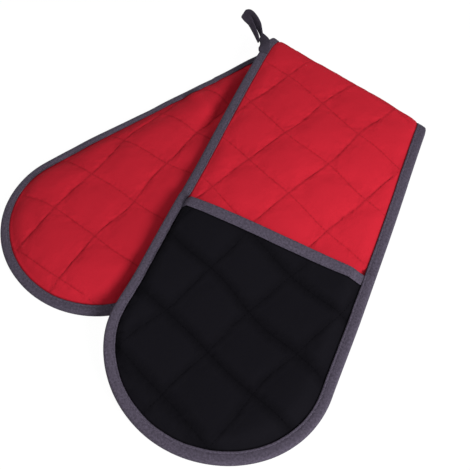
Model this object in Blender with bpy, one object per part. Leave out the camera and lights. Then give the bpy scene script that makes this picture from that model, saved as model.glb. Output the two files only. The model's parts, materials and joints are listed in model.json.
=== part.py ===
"""A double oven glove: one long quilted strip, folded across its middle, with a hand pocket sewn to
each end. Metres, +Z up. The fold runs along Y, both legs lie towards +X, and the floor is Z = 0.
The rear leg lies on the floor with its pocket down. The front leg lies over it with its pocket up.
It is built with the fold's lower corner at the origin, then moved to stand on its footprint's middle.
"""

import math

import bmesh
import bpy
from mathutils import Vector
from mathutils.geometry import delaunay_2d_cdt

# Sizes of the sewn strip, laid flat
STRIP_WIDTH = 0.190
FRONT_LENGTH = 0.4080
REAR_LENGTH = 0.3750
TIP_LENGTH = 0.0860
POCKET_DEPTH = 0.204

# Quilting
QUILT_PITCH = 0.0508
FRONT_QUILT_TURN = math.radians(67.0)
REAR_QUILT_TURN = math.radians(106.0)
FRONT_QUILT_U = 0.1026
FRONT_QUILT_V = -0.0057
REAR_QUILT_U = 0.3393
REAR_QUILT_V = 0.0520
QUILT_START_SHARE = 0.5
CROWN_FLAT_SHARE = 0.54

# Cloth, wadding and the space that cut pieces keep to each other
CLOTH = 0.0006
SEWN_WADDING = 0.0008
STRIP_WADDING = 0.0058
POCKET_WADDING = 0.0036
PIECE_GAP = 0.0003
SAME_POINT = 0.0000001
CROWN_RISE = 0.014
REST_FLAT = 0.0005

# Binding tape
BINDING_WIDTH = 0.0105
BINDING_CLOTH = 0.0010
BINDING_ROUND = 0.0016
BINDING_FACE_SHARES = (0.7, 0.3)
MOUTH_BINDING_WIDTH = 0.0110
MOUTH_RAMP = 0.0060

# Hand pockets
FRONT_HOLLOW = 0.0076
REAR_HOLLOW = 0.0056
POCKET_RISE = 0.030
KNEE_SHARE = 0.35
KNEE_LIFT_SHARE = 0.6
POCKET_CLEARANCE = 0.0006
FRONT_SAG_SHARE = 0.42

# How the glove lies
SPLAY = math.radians(15.1)
FOLD_HEIGHT = 0.0278
FOLD_TURN = math.radians(60)
REAR_CLIMB_START = 0.040
REAR_CLIMB_END = 0.158
FRONT_LEVEL_END = 0.100
FRONT_SLOPE_START = 0.045
FRONT_SLOPE_END = 0.210
MITRE_RUN = 0.014
SEAM_RUN = 0.007
SEAM_END = 0.004

# Hanging loop
LOOP_TAPE_WIDTH = 0.0085
LOOP_TAPE = 0.0014
LOOP_LENGTH = 0.046
LOOP_GAP = 0.0080
LOOP_TAB_LENGTH = 0.012
LOOP_OVERLAP = 0.005
LOOP_DROOP = 0.006
LOOP_CURL = 0.014
LOOP_RAISE = 0.0010

# Counts
STRAP_STEPS = 4
POCKET_STEPS = 3
TIP_STEPS = 16
CROSS_STEPS = 5
LOOP_STEPS = 10
LOOP_END_STEPS = 5
LOOP_CURL_POWER = 2.5

# The faces that fill a tape's cut end, by the order of its section's points
TAPE_END = ((0, 1, 8, 9), (1, 2, 8), (2, 3, 7, 8), (3, 4, 7), (4, 5, 6, 7))

# Sizes that follow
HALF_WIDTH = STRIP_WIDTH / 2
SEWN_HALF = SEWN_WADDING / 2
FLAP_REACH = BINDING_WIDTH + POCKET_CLEARANCE
STRIP_RIM = BINDING_CLOTH + PIECE_GAP
SHEET_HALF = SEWN_HALF + PIECE_GAP + CLOTH
STRIP_HALF = STRIP_WADDING / 2 + PIECE_GAP + CLOTH
POCKET_HALF = POCKET_WADDING / 2 + PIECE_GAP + CLOTH
SEWN_STEP = 2 * SHEET_HALF + PIECE_GAP
MOUTH_STEP = SEWN_STEP + BINDING_CLOTH + PIECE_GAP
FACET = FOLD_HEIGHT / (2 * math.sin(FOLD_TURN))
MITRE = math.tan(FOLD_TURN / 2)
FACET_SHIFT = FACET * math.tan(SPLAY)
REAR_POCKET_RIM = SHEET_HALF + PIECE_GAP + BINDING_CLOTH
REAR_POCKET_MID = POCKET_HALF - REST_FLAT

RED = (0.52, 0.016, 0.030, 1)
RED_LINING = (0.44, 0.013, 0.026, 1)
BLACK = (0.009, 0.008, 0.011, 1)
GREY = (0.070, 0.056, 0.078, 1)
WHITE = (0.78, 0.77, 0.73, 1)


def clamped(t):
    return min(max(t, 0.0), 1.0)


def eased(t):
    t = clamped(t)
    return t * t * (3 - 2 * t)


def pocket_rise(t):
    """From the sewn edge to the full hollow: steep at first, then gentle."""
    t = clamped(t)
    gentle = mixed(KNEE_LIFT_SHARE, 1, (t - KNEE_SHARE) / (1 - KNEE_SHARE))
    return min(KNEE_LIFT_SHARE * t / KNEE_SHARE, gentle)


def mixed(a, b, t):
    return a + (b - a) * t


class Leg:
    """One half of the strip: u runs from the fold to the tip, v across, and n off the pocket face."""

    def __init__(self, name, length, up, turn, quilt_u, quilt_v, hollow, fold_level):
        self.name = name
        self.length = length
        self.up = up
        self.turn = turn
        self.quilt_u = quilt_u
        self.quilt_v = quilt_v
        self.hollow = hollow
        self.fold_level = fold_level
        self.tip_centre = length - TIP_LENGTH
        self.mouth = length - POCKET_DEPTH

    def depth_inside(self, u, v):
        """How far a point lies inside the strip's finished edge."""
        if u <= self.tip_centre:
            return HALF_WIDTH - abs(v)
        along = u - self.tip_centre
        reach = math.hypot(along / TIP_LENGTH, v / HALF_WIDTH)
        return math.hypot(along, v) * (1 / max(reach, 1e-9) - 1)

    def pocket_step(self, u, v):
        """From the strip's middle to the pocket panel's, off the pocket face."""
        edge = mixed(MOUTH_STEP, SEWN_STEP, self.below_mouth(u, POCKET_RISE))
        middle = STRIP_HALF + POCKET_HALF + self.hollow
        return mixed(edge, middle, self.inside_pocket(u, v))

    def inside_pocket(self, u, v):
        return pocket_rise((self.depth_inside(u, v) - FLAP_REACH) / POCKET_RISE)

    def below_mouth(self, u, run):
        """0 at the mouth's binding, 1 from a run further in."""
        return eased((u - self.mouth - MOUTH_BINDING_WIDTH - PIECE_GAP) / run)

    def quilt_lift(self, u, v):
        """0 along the quilting seams, 1 on the flat crown between them."""
        along = (u - self.quilt_u) / QUILT_PITCH
        across = (v - self.quilt_v) / QUILT_PITCH
        first = along * math.cos(self.turn) + across * math.sin(self.turn) + QUILT_START_SHARE
        second = across * math.cos(self.turn) - along * math.sin(self.turn)
        nearest = min(abs(first - round(first)), abs(second - round(second)))
        return clamped(nearest / (0.5 * (1 - CROWN_FLAT_SHARE)))

    def quilt_point(self, first, second):
        along = (first - QUILT_START_SHARE) * QUILT_PITCH
        across = second * QUILT_PITCH
        u = self.quilt_u + along * math.cos(self.turn) - across * math.sin(self.turn)
        v = self.quilt_v + along * math.sin(self.turn) + across * math.cos(self.turn)
        return u, v

    def flat_x(self, u, v):
        return u * math.cos(SPLAY) - self.up * v * math.sin(SPLAY)

    def flat_y(self, u, v):
        return self.up * (u * math.sin(SPLAY) + FACET_SHIFT) + v * math.cos(SPLAY)

    def fold_u(self, v, x=PIECE_GAP / 2):
        """u where the line across the strip at v meets the fold."""
        return (x + self.up * v * math.sin(SPLAY)) / math.cos(SPLAY)

    def place(self, u, v, n):
        """World point. Towards the fold, the deeper layers step back for the mitre."""
        x = self.flat_x(u, v)
        z = self.middle(u, v) + self.up * n
        depth = abs(z - self.fold_level)
        near = clamped(1 - (x - PIECE_GAP / 2) / MITRE_RUN)
        return Vector((x + MITRE * depth * near, self.flat_y(u, v), z))

    def place_pocket(self, u, v, n):
        return self.place(u, v, self.pocket_step(u, v) + n)

    def strip_lift(self, u, v):
        """Share of the full padding at a point of the strip."""
        inside = eased((self.depth_inside(u, v) - FLAP_REACH) / CROWN_RISE)
        at_fold = 1 - eased((self.flat_x(u, v) - PIECE_GAP / 2) / SEAM_RUN)
        return inside * max(self.quilt_lift(u, v), at_fold)

    def pocket_lift(self, u, v):
        """Share of the full padding at a point of the pocket panel."""
        inside = eased((self.depth_inside(u, v) - FLAP_REACH) / CROWN_RISE)
        pressed = 1 if self.up > 0 else 1 - 2 * REST_FLAT / (POCKET_WADDING - SEWN_WADDING)
        return inside * self.below_mouth(u, CROWN_RISE) * self.quilt_lift(u, v) * pressed

    def rim(self, inset, pocket_only=False):
        """Points round the edge at an inset, from the fold round the tip and back to the fold."""
        half = HALF_WIDTH - inset
        side = []
        if not pocket_only:
            start = self.fold_u(-half)
            end = self.mouth - MOUTH_RAMP
            side = [mixed(start, end, i / STRAP_STEPS) for i in range(STRAP_STEPS + 1)]
        side += [mixed(self.mouth, self.tip_centre, i / POCKET_STEPS) for i in range(POCKET_STEPS)]
        points = [(u, -half) for u in side]
        for i in range(TIP_STEPS + 1):
            angle = math.pi * i / TIP_STEPS
            u = self.tip_centre + (TIP_LENGTH - inset) * math.sin(angle)
            points.append((u, -half * math.cos(angle)))
        side_back = list(reversed(side))
        if not pocket_only:
            start = self.fold_u(half)
            side_back[-STRAP_STEPS - 1:] = [
                mixed(end, start, i / STRAP_STEPS) for i in range(STRAP_STEPS + 1)
            ]
        points += [(u, half) for u in side_back]
        return points


class RearLeg(Leg):
    def middle(self, u, v):
        """Height of the strip's middle: on the floor by the fold, over its own pocket further out."""
        climb = eased((u - REAR_CLIMB_START) / (REAR_CLIMB_END - REAR_CLIMB_START))
        inside = self.inside_pocket(u, v) * self.below_mouth(u, CROWN_RISE)
        pocket = mixed(REAR_POCKET_RIM, REAR_POCKET_MID, inside)
        return mixed(STRIP_HALF, pocket + self.pocket_step(u, v), climb)


class FrontLeg(Leg):
    def middle(self, u, v):
        """Height of the strip's middle: it lies on the rear leg, then slopes off it to the floor."""
        x = self.flat_x(u, v)
        past_rear = x * math.sin(SPLAY) + (self.flat_y(u, v) + FACET_SHIFT) * math.cos(SPLAY)
        slope = eased((past_rear - FRONT_SLOPE_START) / (FRONT_SLOPE_END - FRONT_SLOPE_START))
        lying = slope * eased(x / FRONT_LEVEL_END)
        room = mixed(FOLD_HEIGHT - 2 * STRIP_HALF, 0, lying) * FRONT_SAG_SHARE
        sag = room * self.inside_pocket(u, v) * eased((u - self.mouth) / POCKET_RISE) * slope
        return mixed(FOLD_HEIGHT - STRIP_HALF, STRIP_HALF, lying) - sag


FRONT = FrontLeg("front", FRONT_LENGTH, 1, FRONT_QUILT_TURN, FRONT_QUILT_U, FRONT_QUILT_V,
                 FRONT_HOLLOW, FOLD_HEIGHT)
REAR = RearLeg("rear", REAR_LENGTH, -1, REAR_QUILT_TURN, REAR_QUILT_U, REAR_QUILT_V,
               REAR_HOLLOW, 0)


def clear_scene():
    for old in list(bpy.data.objects):
        bpy.data.objects.remove(old, do_unlink=True)


def material(name, color, roughness):
    made = bpy.data.materials.new(name)
    made.use_nodes = True
    shader = made.node_tree.nodes["Principled BSDF"]
    shader.inputs["Base Color"].default_value = color
    shader.inputs["Roughness"].default_value = roughness
    shader.inputs["Metallic"].default_value = 0.0
    return made


def new_object(name, mesh_data, color, roughness, origin=None):
    """Puts a finished bmesh in the scene, with its origin on the axis that it turns about."""
    bmesh.ops.recalc_face_normals(mesh_data, faces=mesh_data.faces)
    origin = origin or Vector((0, 0, 0))
    bmesh.ops.translate(mesh_data, verts=mesh_data.verts, vec=-origin)
    mesh = bpy.data.meshes.new(name)
    mesh_data.to_mesh(mesh)
    mesh_data.free()
    mesh.shade_smooth()
    mesh.set_sharp_from_angle(angle=math.radians(40))
    made = bpy.data.objects.new(name, mesh)
    made.location = origin
    made.data.materials.append(material(name, color, roughness))
    bpy.context.scene.collection.objects.link(made)
    return made


def clipped(start, end, corners):
    """The stretch of a line that lies inside a convex outline, or None."""
    low, high = 0.0, 1.0
    direction = (end[0] - start[0], end[1] - start[1])
    for i, corner in enumerate(corners):
        other = corners[(i + 1) % len(corners)]
        normal = (corner[1] - other[1], other[0] - corner[0])
        inside = normal[0] * (start[0] - corner[0]) + normal[1] * (start[1] - corner[1])
        rate = normal[0] * direction[0] + normal[1] * direction[1]
        if abs(rate) < 1e-15:
            if inside < 0:
                return None
            continue
        cross = -inside / rate
        if rate > 0:
            low = max(low, cross)
        else:
            high = min(high, cross)
    if high - low < 1e-6:
        return None
    return [(start[0] + direction[0] * t, start[1] + direction[1] * t) for t in (low, high)]


def quilt_lines(leg, corners):
    """The quilting seams that cross a convex outline, as pairs of points."""
    count = math.ceil(leg.length / QUILT_PITCH) + CROSS_STEPS
    lines = []
    for i in range(-count, count + 1):
        for ends in (((i, -count), (i, count)), ((-count, i), (count, i))):
            piece = clipped(leg.quilt_point(*ends[0]), leg.quilt_point(*ends[1]), corners)
            if piece:
                lines.append(piece)
    return lines


def crown_points(leg, inside_enough):
    """Four points on the crown of each quilted square."""
    count = math.ceil(leg.length / QUILT_PITCH) + CROSS_STEPS
    step = 0.5 * CROWN_FLAT_SHARE
    points = []
    for i in range(-count, count):
        for j in range(-count, count):
            for a, b in ((-step, -step), (step, -step), (step, step), (-step, step)):
                point = leg.quilt_point(i + 0.5 + a, j + 0.5 + b)
                if inside_enough(*point):
                    points.append(point)
    return points


def triangulated(outline, chains, loose):
    """Points and triangles of a flat outline, cut along the chains and through the loose points."""
    points = [Vector(p) for p in outline]
    edges = []
    for chain in chains:
        first = len(points)
        points += [Vector(p) for p in chain]
        edges += [(first + i, first + i + 1) for i in range(len(chain) - 1)]
    points += [Vector(p) for p in loose]
    found = delaunay_2d_cdt(points, edges, [list(range(len(outline)))], 0, SAME_POINT, True)
    triangles = [face for face, whose in zip(found[2], found[5]) if whose]
    return [(p.x, p.y) for p in found[0]], triangles


def sheet(name, flat, place, top, bottom, color, roughness, origin=None):
    """A closed sheet over a flat mesh, between a top and a bottom offset."""
    points, triangles = flat
    built = bmesh.new()
    used = sorted({i for triangle in triangles for i in triangle})
    upper = {i: built.verts.new(place(*points[i], top(*points[i]))) for i in used}
    lower = {i: built.verts.new(place(*points[i], bottom(*points[i]))) for i in used}
    owners = {}
    for a, b, c in triangles:
        built.faces.new((upper[a], upper[b], upper[c]))
        built.faces.new((lower[c], lower[b], lower[a]))
        for edge in ((a, b), (b, c), (c, a)):
            owners.setdefault(frozenset(edge), []).append(edge)
    for edge in owners.values():
        if len(edge) == 1:
            a, b = edge[0]
            built.faces.new((upper[b], upper[a], lower[a], lower[b]))
    return new_object(name, built, color, roughness, origin)


def lofted(name, rings, color, roughness, origin=None, caps=None):
    """A closed solid through rings of points. Caps are the faces that fill the two end rings."""
    built = bmesh.new()
    made = [[built.verts.new(point) for point in ring] for ring in rings]
    size = len(rings[0])
    for here, there in zip(made, made[1:]):
        for i in range(size):
            j = (i + 1) % size
            built.faces.new((here[i], here[j], there[j], there[i]))
    for cap in caps or (range(size),):
        built.faces.new([made[0][i] for i in cap])
        built.faces.new([made[-1][i] for i in cap])
    bmesh.ops.triangulate(built, faces=built.faces)
    return new_object(name, built, color, roughness, origin)


def wadding_half(full, lift):
    return SEWN_HALF + (full / 2 - SEWN_HALF) * lift


def fold_edge_points(leg):
    """Points along the fold, where the quilting seams are pressed out."""
    half = HALF_WIDTH - STRIP_RIM
    steps = 2 * CROSS_STEPS
    inner = [mixed(-HALF_WIDTH + FLAP_REACH + CROWN_RISE, HALF_WIDTH - FLAP_REACH - CROWN_RISE,
                   i / steps) for i in range(steps + 1)]
    across = [-HALF_WIDTH + FLAP_REACH] + inner + [HALF_WIDTH - FLAP_REACH]
    return [(leg.fold_u(v), v) for v in reversed(across) if abs(v) < half]


def build_strip(leg):
    """Outer cover, wadding and inner cover of one leg."""
    outline = leg.rim(STRIP_RIM) + fold_edge_points(leg)
    inner = leg.rim(FLAP_REACH)
    knee = leg.rim(FLAP_REACH + KNEE_SHARE * POCKET_RISE, pocket_only=True)
    flat = triangulated(
        outline,
        [inner, knee] + quilt_lines(leg, leg.rim(FLAP_REACH + SEAM_END)),
        crown_points(leg, lambda u, v: leg.depth_inside(u, v) > FLAP_REACH + SEAM_RUN
                     and leg.flat_x(u, v) > SEAM_RUN),
    )

    def half(u, v):
        return wadding_half(STRIP_WADDING, leg.strip_lift(u, v))

    def cover(name, side, color):
        sheet(name, flat, leg.place,
              lambda u, v: side * (half(u, v) + PIECE_GAP + CLOTH),
              lambda u, v: side * (half(u, v) + PIECE_GAP), color, 0.85)

    cover(f"{leg.name}_outer_cover", 1, RED)
    sheet(f"{leg.name}_wadding", flat, leg.place, half, lambda u, v: -half(u, v), WHITE, 0.95)
    cover(f"{leg.name}_inner_cover", -1, RED_LINING)


def mouth_stations(half_width):
    """Places across the mouth, closer where the pocket rises from its sewn sides."""
    shares = (0, KNEE_SHARE / 2, KNEE_SHARE, mixed(KNEE_SHARE, 1, 0.5), 1)
    left = [POCKET_RISE * share - half_width for share in shares]
    return left + [0] + [-v for v in reversed(left)]


def pocket_axis(leg):
    """A point on the line across the tip about which the pocket panel lifts, on its sewn edge's face."""
    return leg.place_pocket(leg.length - FLAP_REACH, 0, SHEET_HALF)


def build_pocket(leg):
    """Cover, wadding and lining of one hand pocket, and the binding along its mouth."""
    half_width = HALF_WIDTH - FLAP_REACH
    edge = leg.mouth + STRIP_RIM
    sewn = leg.mouth + MOUTH_BINDING_WIDTH + PIECE_GAP
    across = mouth_stations(half_width)
    rim = [(max(u, edge), v) for u, v in leg.rim(FLAP_REACH, pocket_only=True)]
    outline = rim + [(edge, v) for v in reversed(across[1:-1])]
    seam = [(sewn, v) for v in across]
    knee = [(max(u, sewn), v)
            for u, v in leg.rim(FLAP_REACH + KNEE_SHARE * POCKET_RISE, pocket_only=True)]
    inner = [(max(u, sewn + SEAM_END), v)
             for u, v in leg.rim(FLAP_REACH + SEAM_END, pocket_only=True)]
    flat = triangulated(
        outline,
        [seam, knee] + quilt_lines(leg, inner),
        crown_points(leg, lambda u, v: leg.depth_inside(u, v) > FLAP_REACH + SEAM_RUN
                     and u > sewn + SEAM_RUN),
    )
    axis = pocket_axis(leg)

    def half(u, v):
        return wadding_half(POCKET_WADDING, leg.pocket_lift(u, v))

    def outside(u, v):
        return half(u, v) + PIECE_GAP

    sheet(f"{leg.name}_pocket_cover", flat, leg.place_pocket,
          lambda u, v: outside(u, v) + CLOTH, outside, BLACK, 0.8, axis)
    sheet(f"{leg.name}_pocket_wadding", flat, leg.place_pocket,
          half, lambda u, v: -half(u, v), WHITE, 0.95, axis)
    sheet(f"{leg.name}_pocket_lining", flat, leg.place_pocket,
          lambda u, v: -outside(u, v), lambda u, v: -outside(u, v) - CLOTH, RED_LINING, 0.85, axis)

    inner_half = SHEET_HALF + PIECE_GAP
    rings = []
    for v in across:
        rings.append([leg.place_pocket(leg.mouth + along, v, n)
                      for along, n in tape_section(MOUTH_BINDING_WIDTH, inner_half, inner_half)])
    lofted(f"{leg.name}_mouth_binding", rings, GREY, 0.8, axis, TAPE_END)


def tape_section(width, above, below):
    """A tape folded round an edge: distances from the edge, and offsets above and below it."""
    top = above + BINDING_CLOTH
    foot = below + BINDING_CLOTH
    high, low = (mixed(-foot, top, share) for share in BINDING_FACE_SHARES)
    return [
        (width, top),
        (BINDING_ROUND, top),
        (0, high),
        (0, low),
        (BINDING_ROUND, -foot),
        (width, -foot),
        (width, -below),
        (BINDING_CLOTH, -below),
        (BINDING_CLOTH, above),
        (width, above),
    ]


def rim_rings(leg, sections, pocket_only=False):
    """Rings of world points along the edge, one for each station, from a section at each."""
    count = len(leg.rim(0, pocket_only))
    rings = []
    for i in range(count):
        ring = []
        for inset, n in sections(i, count):
            u, v = leg.rim(inset, pocket_only)[i]
            ring.append(leg.place(u, v, n))
        rings.append(ring)
    return rings


def build_binding(leg):
    """The tape round the leg's edge, and the edge of the pocket panel that is sewn into it."""
    strap = SHEET_HALF + PIECE_GAP
    pocket = SEWN_STEP + strap

    def section(i, count):
        from_fold = min(i, count - 1 - i)
        above = strap if from_fold <= STRAP_STEPS else pocket
        return tape_section(BINDING_WIDTH, above, strap)

    lofted(f"{leg.name}_edge_binding", rim_rings(leg, section), GREY, 0.8, caps=TAPE_END)

    def sewn(i, count):
        low = SEWN_STEP - SHEET_HALF
        high = SEWN_STEP + SHEET_HALF
        return [(STRIP_RIM, low), (BINDING_WIDTH, low), (BINDING_WIDTH, high), (STRIP_RIM, high)]

    lofted(f"{leg.name}_pocket_sewn_edge", rim_rings(leg, sewn, pocket_only=True), BLACK, 0.8)


def facet_frame(upper):
    """Start, direction and outward normal of one flat of the fold, seen along Y."""
    turn = FOLD_TURN if upper else 2 * FOLD_TURN
    direction = Vector((math.cos(turn), 0, math.sin(turn)))
    outward = Vector((-math.sin(turn), 0, math.cos(turn)))
    start = Vector((-FACET / 2, 0, FOLD_HEIGHT / 2)) if upper else Vector((0, 0, 0))
    return start, direction, outward


def facet_point(upper, end, inset, side, n):
    """World point of the fold: at its first or last mitre, at an inset from one side edge."""
    start, direction, outward = facet_frame(upper)
    depth = STRIP_HALF - n
    back = MITRE * depth + PIECE_GAP / 2
    along = FACET - back if end else back
    developed = along if upper else along - FACET
    y = side * (HALF_WIDTH - inset) / math.cos(SPLAY) + developed * math.tan(SPLAY)
    return start + direction * along - outward * depth + Vector((0, y, 0))


def build_fold(upper):
    """The two covers, the wadding and the two bindings of one flat of the fold."""
    name = "fold_upper" if upper else "fold_lower"
    start = facet_frame(upper)[0]
    insets = [STRIP_RIM, FLAP_REACH, FLAP_REACH + CROWN_RISE]
    stations = [(inset, -1) for inset in insets] + [(inset, 1) for inset in reversed(insets)]

    def layer(piece, top, bottom, color, roughness):
        rings = []
        for inset, side in stations:
            lift = eased((inset - FLAP_REACH) / CROWN_RISE)
            half = wadding_half(STRIP_WADDING, lift)
            rings.append([
                facet_point(upper, False, inset, side, top(half)),
                facet_point(upper, True, inset, side, top(half)),
                facet_point(upper, True, inset, side, bottom(half)),
                facet_point(upper, False, inset, side, bottom(half)),
            ])
        lofted(f"{name}_{piece}", rings, color, roughness, start)

    layer("outer_cover", lambda half: half + PIECE_GAP + CLOTH, lambda half: half + PIECE_GAP,
          RED, 0.85)
    layer("wadding", lambda half: half, lambda half: -half, WHITE, 0.95)
    layer("inner_cover", lambda half: -half - PIECE_GAP, lambda half: -half - PIECE_GAP - CLOTH,
          RED_LINING, 0.85)
    strap = SHEET_HALF + PIECE_GAP
    for side, word in ((-1, "left"), (1, "right")):
        section = tape_section(BINDING_WIDTH, strap, strap)
        rings = [[facet_point(upper, end, inset, side, n) for inset, n in section]
                 for end in (False, True)]
        lofted(f"{name}_{word}_binding", rings, GREY, 0.8, start, TAPE_END)


def loop_root():
    """Where the loop's two ends are sewn to the binding, at the left end of the fold."""
    above = LOOP_RAISE + LOOP_TAPE_WIDTH / 2
    nearest = above / math.sin(FOLD_TURN) - LOOP_TAPE_WIDTH / 4 * math.sin(FOLD_TURN)
    x = -FACET / 2 + above / math.tan(FOLD_TURN) + STRIP_HALF / math.sin(FOLD_TURN)
    y = nearest * math.tan(SPLAY) - HALF_WIDTH / math.cos(SPLAY)
    return Vector((x, y - PIECE_GAP, FOLD_HEIGHT / 2 + above))


def loop_path():
    """The middle line of the tape: out along one strand, round the end and back along the other."""
    root = loop_root()
    start = LOOP_TAB_LENGTH - LOOP_OVERLAP
    radius = (LOOP_GAP + LOOP_TAPE) / 2
    end = LOOP_LENGTH - radius
    outward = []
    for i in range(LOOP_STEPS + 1):
        t = i / LOOP_STEPS
        half = mixed(LOOP_TAPE + PIECE_GAP, radius, math.sin(t * math.pi / 2))
        outward.append((mixed(start, end, t), half))
    points = [(out, -half) for out, half in outward]
    for i in range(1, LOOP_END_STEPS):
        angle = math.pi * i / LOOP_END_STEPS
        points.append((end + radius * math.sin(angle), -radius * math.cos(angle)))
    points += [(out, half) for out, half in reversed(outward)]
    placed = []
    for out, aside in points:
        share = (out - start) / (LOOP_LENGTH - start)
        curl = LOOP_CURL * share ** LOOP_CURL_POWER
        placed.append(root + Vector((aside - curl, -out, -LOOP_DROOP * share ** 2)))
    return placed


def build_loop():
    """The hanging loop, and the tab of folded tape that its two ends are sewn to."""
    root = loop_root()
    path = loop_path()
    tall = Vector((0, 0, LOOP_TAPE_WIDTH / 2))
    rings = []
    for i, point in enumerate(path):
        ahead = path[min(i + 1, len(path) - 1)] - path[max(i - 1, 0)]
        across = Vector((ahead.y, -ahead.x, 0)).normalized() * (LOOP_TAPE / 2)
        rings.append([point - across - tall, point + across - tall,
                      point + across + tall, point - across + tall])
    pivot = root - Vector((0, LOOP_TAB_LENGTH - LOOP_OVERLAP / 2, 0))
    lofted("hanging_loop", rings, GREY, 0.8, pivot)
    half = Vector((LOOP_TAPE / 2, 0, 0))
    rings = [[end - half - tall, end + half - tall, end + half + tall, end - half + tall]
             for end in (root, root - Vector((0, LOOP_TAB_LENGTH, 0)))]
    lofted("loop_tab", rings, GREY, 0.8)


def centre_footprint():
    """Moves the whole glove level, so that the middle of its footprint is the origin."""
    bpy.context.view_layer.update()
    corners = [made.matrix_world @ Vector(corner)
               for made in bpy.data.objects for corner in made.bound_box]
    low = Vector(min(corner[axis] for corner in corners) for axis in range(3))
    high = Vector(max(corner[axis] for corner in corners) for axis in range(3))
    middle = (low + high) / 2
    for made in bpy.data.objects:
        made.location -= Vector((middle.x, middle.y, 0))


def main():
    clear_scene()
    for leg in (REAR, FRONT):
        build_strip(leg)
        build_pocket(leg)
        build_binding(leg)
    build_fold(upper=False)
    build_fold(upper=True)
    build_loop()
    centre_footprint()


main()
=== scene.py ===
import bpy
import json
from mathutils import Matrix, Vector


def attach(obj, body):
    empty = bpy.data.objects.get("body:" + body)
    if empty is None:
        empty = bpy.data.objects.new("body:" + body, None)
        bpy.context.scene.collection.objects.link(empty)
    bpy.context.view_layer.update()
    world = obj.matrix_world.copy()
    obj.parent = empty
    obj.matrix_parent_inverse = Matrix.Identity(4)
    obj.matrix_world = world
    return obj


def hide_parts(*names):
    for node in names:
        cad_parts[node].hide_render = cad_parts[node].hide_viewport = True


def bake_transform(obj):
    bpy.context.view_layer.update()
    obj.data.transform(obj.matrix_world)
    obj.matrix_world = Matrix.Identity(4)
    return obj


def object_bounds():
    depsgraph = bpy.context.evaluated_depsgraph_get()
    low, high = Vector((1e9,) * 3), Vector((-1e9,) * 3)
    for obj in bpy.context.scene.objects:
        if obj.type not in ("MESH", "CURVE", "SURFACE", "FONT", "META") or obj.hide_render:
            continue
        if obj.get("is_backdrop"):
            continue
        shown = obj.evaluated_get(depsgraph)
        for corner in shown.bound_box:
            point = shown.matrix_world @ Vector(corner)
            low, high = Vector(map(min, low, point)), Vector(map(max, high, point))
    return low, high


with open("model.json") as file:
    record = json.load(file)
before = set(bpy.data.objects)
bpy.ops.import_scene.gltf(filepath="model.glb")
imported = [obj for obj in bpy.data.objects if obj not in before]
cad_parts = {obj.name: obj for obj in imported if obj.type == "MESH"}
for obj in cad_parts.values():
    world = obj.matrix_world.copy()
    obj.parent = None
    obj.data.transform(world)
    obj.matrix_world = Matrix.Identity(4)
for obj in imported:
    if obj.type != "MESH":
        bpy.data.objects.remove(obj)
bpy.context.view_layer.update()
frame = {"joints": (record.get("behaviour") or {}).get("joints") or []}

import json
import math

import bpy
import numpy as np
from bpy.props import FloatProperty, FloatVectorProperty, IntProperty, PointerProperty
from mathutils import Matrix, Vector, noise
from mathutils.geometry import delaunay_2d_cdt

bl_info = {
    "name": "Double oven glove",
    "version": (1, 0, 0),
    "blender": (4, 5, 0),
    "location": "View3D > Sidebar > Oven glove",
    "description": "Quilted cloth, pockets, bindings, stitches and loop of a folded double oven glove",
    "category": "Add Mesh",
}

# Places that the frame gives, and how far past the fold the legs still bend
JOINTS = {joint["name"]: joint for joint in frame["joints"]}
FOLD_CORNER = Vector(JOINTS["fold_hinge_lower"]["pos_m"])
FOLD_HEIGHT = JOINTS["fold_hinge_upper"]["pos_m"][2] - FOLD_CORNER.z
FACET = 2 * (FOLD_CORNER.x - JOINTS["fold_hinge_middle"]["pos_m"][0])
FOLD_RADIUS = FOLD_HEIGHT / 2
FOLD_CENTRE = FOLD_RADIUS - FACET / 2
FOLD_PART = FACET / 2

# Layers, counted from the strip's middle
CLOTH = 0.0006
PIECE_GAP = 0.0003
SEWN_HALF = 0.0004
STRIP_PAD_HALF = 0.0029
POCKET_PAD_HALF = 0.0018
SHEET_HALF = SEWN_HALF + PIECE_GAP + CLOTH
STRIP_HALF = STRIP_PAD_HALF + PIECE_GAP + CLOTH
POCKET_HALF = POCKET_PAD_HALF + PIECE_GAP + CLOTH
SEWN_STEP = 2 * SHEET_HALF + PIECE_GAP
TAPE_ROOM = SHEET_HALF + PIECE_GAP

# How the glove lies. A climb, slope or stretch is given as where it starts and where it ends
SPLAY = math.radians(15.1)
FACET_SHIFT = FACET * math.tan(SPLAY)
REAR_CLIMB = (0.058, 0.163)
REAR_MOUTH_CLIMB = 0.014
FRONT_LEVEL_END = 0.100
FRONT_SLOPE = (0.045, 0.210)
FRONT_SAG_SHARE = 0.42
POCKET_RISE = 0.030
KNEE_SHARE = 0.35
KNEE_LIFT_SHARE = 0.6

# Smooth waves: how far apart two seeds' waves are taken, and the lying cloth's (seed, height, length)
SEED_STEP = 17.3
UNEVEN_WAVES = ((3, 0.0007, 0.075), (6, 0.0005, 0.028))

# Quilting: its turn, where it starts along u and across v, and the seed of its seams' wander
FRONT_QUILT = (math.radians(66.1), 0.1006, -0.0057, 203)
FRONT_POCKET_QUILT = (math.radians(68.1), 0.1104, -0.0035, 60)
REAR_QUILT = (math.radians(107.8), 0.3390, 0.0562, 47)
QUILT_START_SHARE = 0.5
SEAM_WANDER = 0.0055
WANDER_LENGTH = 0.055
SECOND_SEED_STEP = 2
WANDER_TRIES = 5

# How finely the cloth is modelled between its seams and along its rim
GRID_SHARES = (0, 0.018, 0.05, 0.10, 0.17, 0.26, 0.37, 0.5, 0.63, 0.74, 0.83, 0.90, 0.95, 0.982)
SPARE_SQUARES = 3
RIM_SPACING = 0.0024
KEEP_CLEAR = 0.0011
SAME_POINT = 0.00001
FLAT_TRIANGLE = 1e-12
SHARP_ANGLE = math.radians(50)

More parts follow.
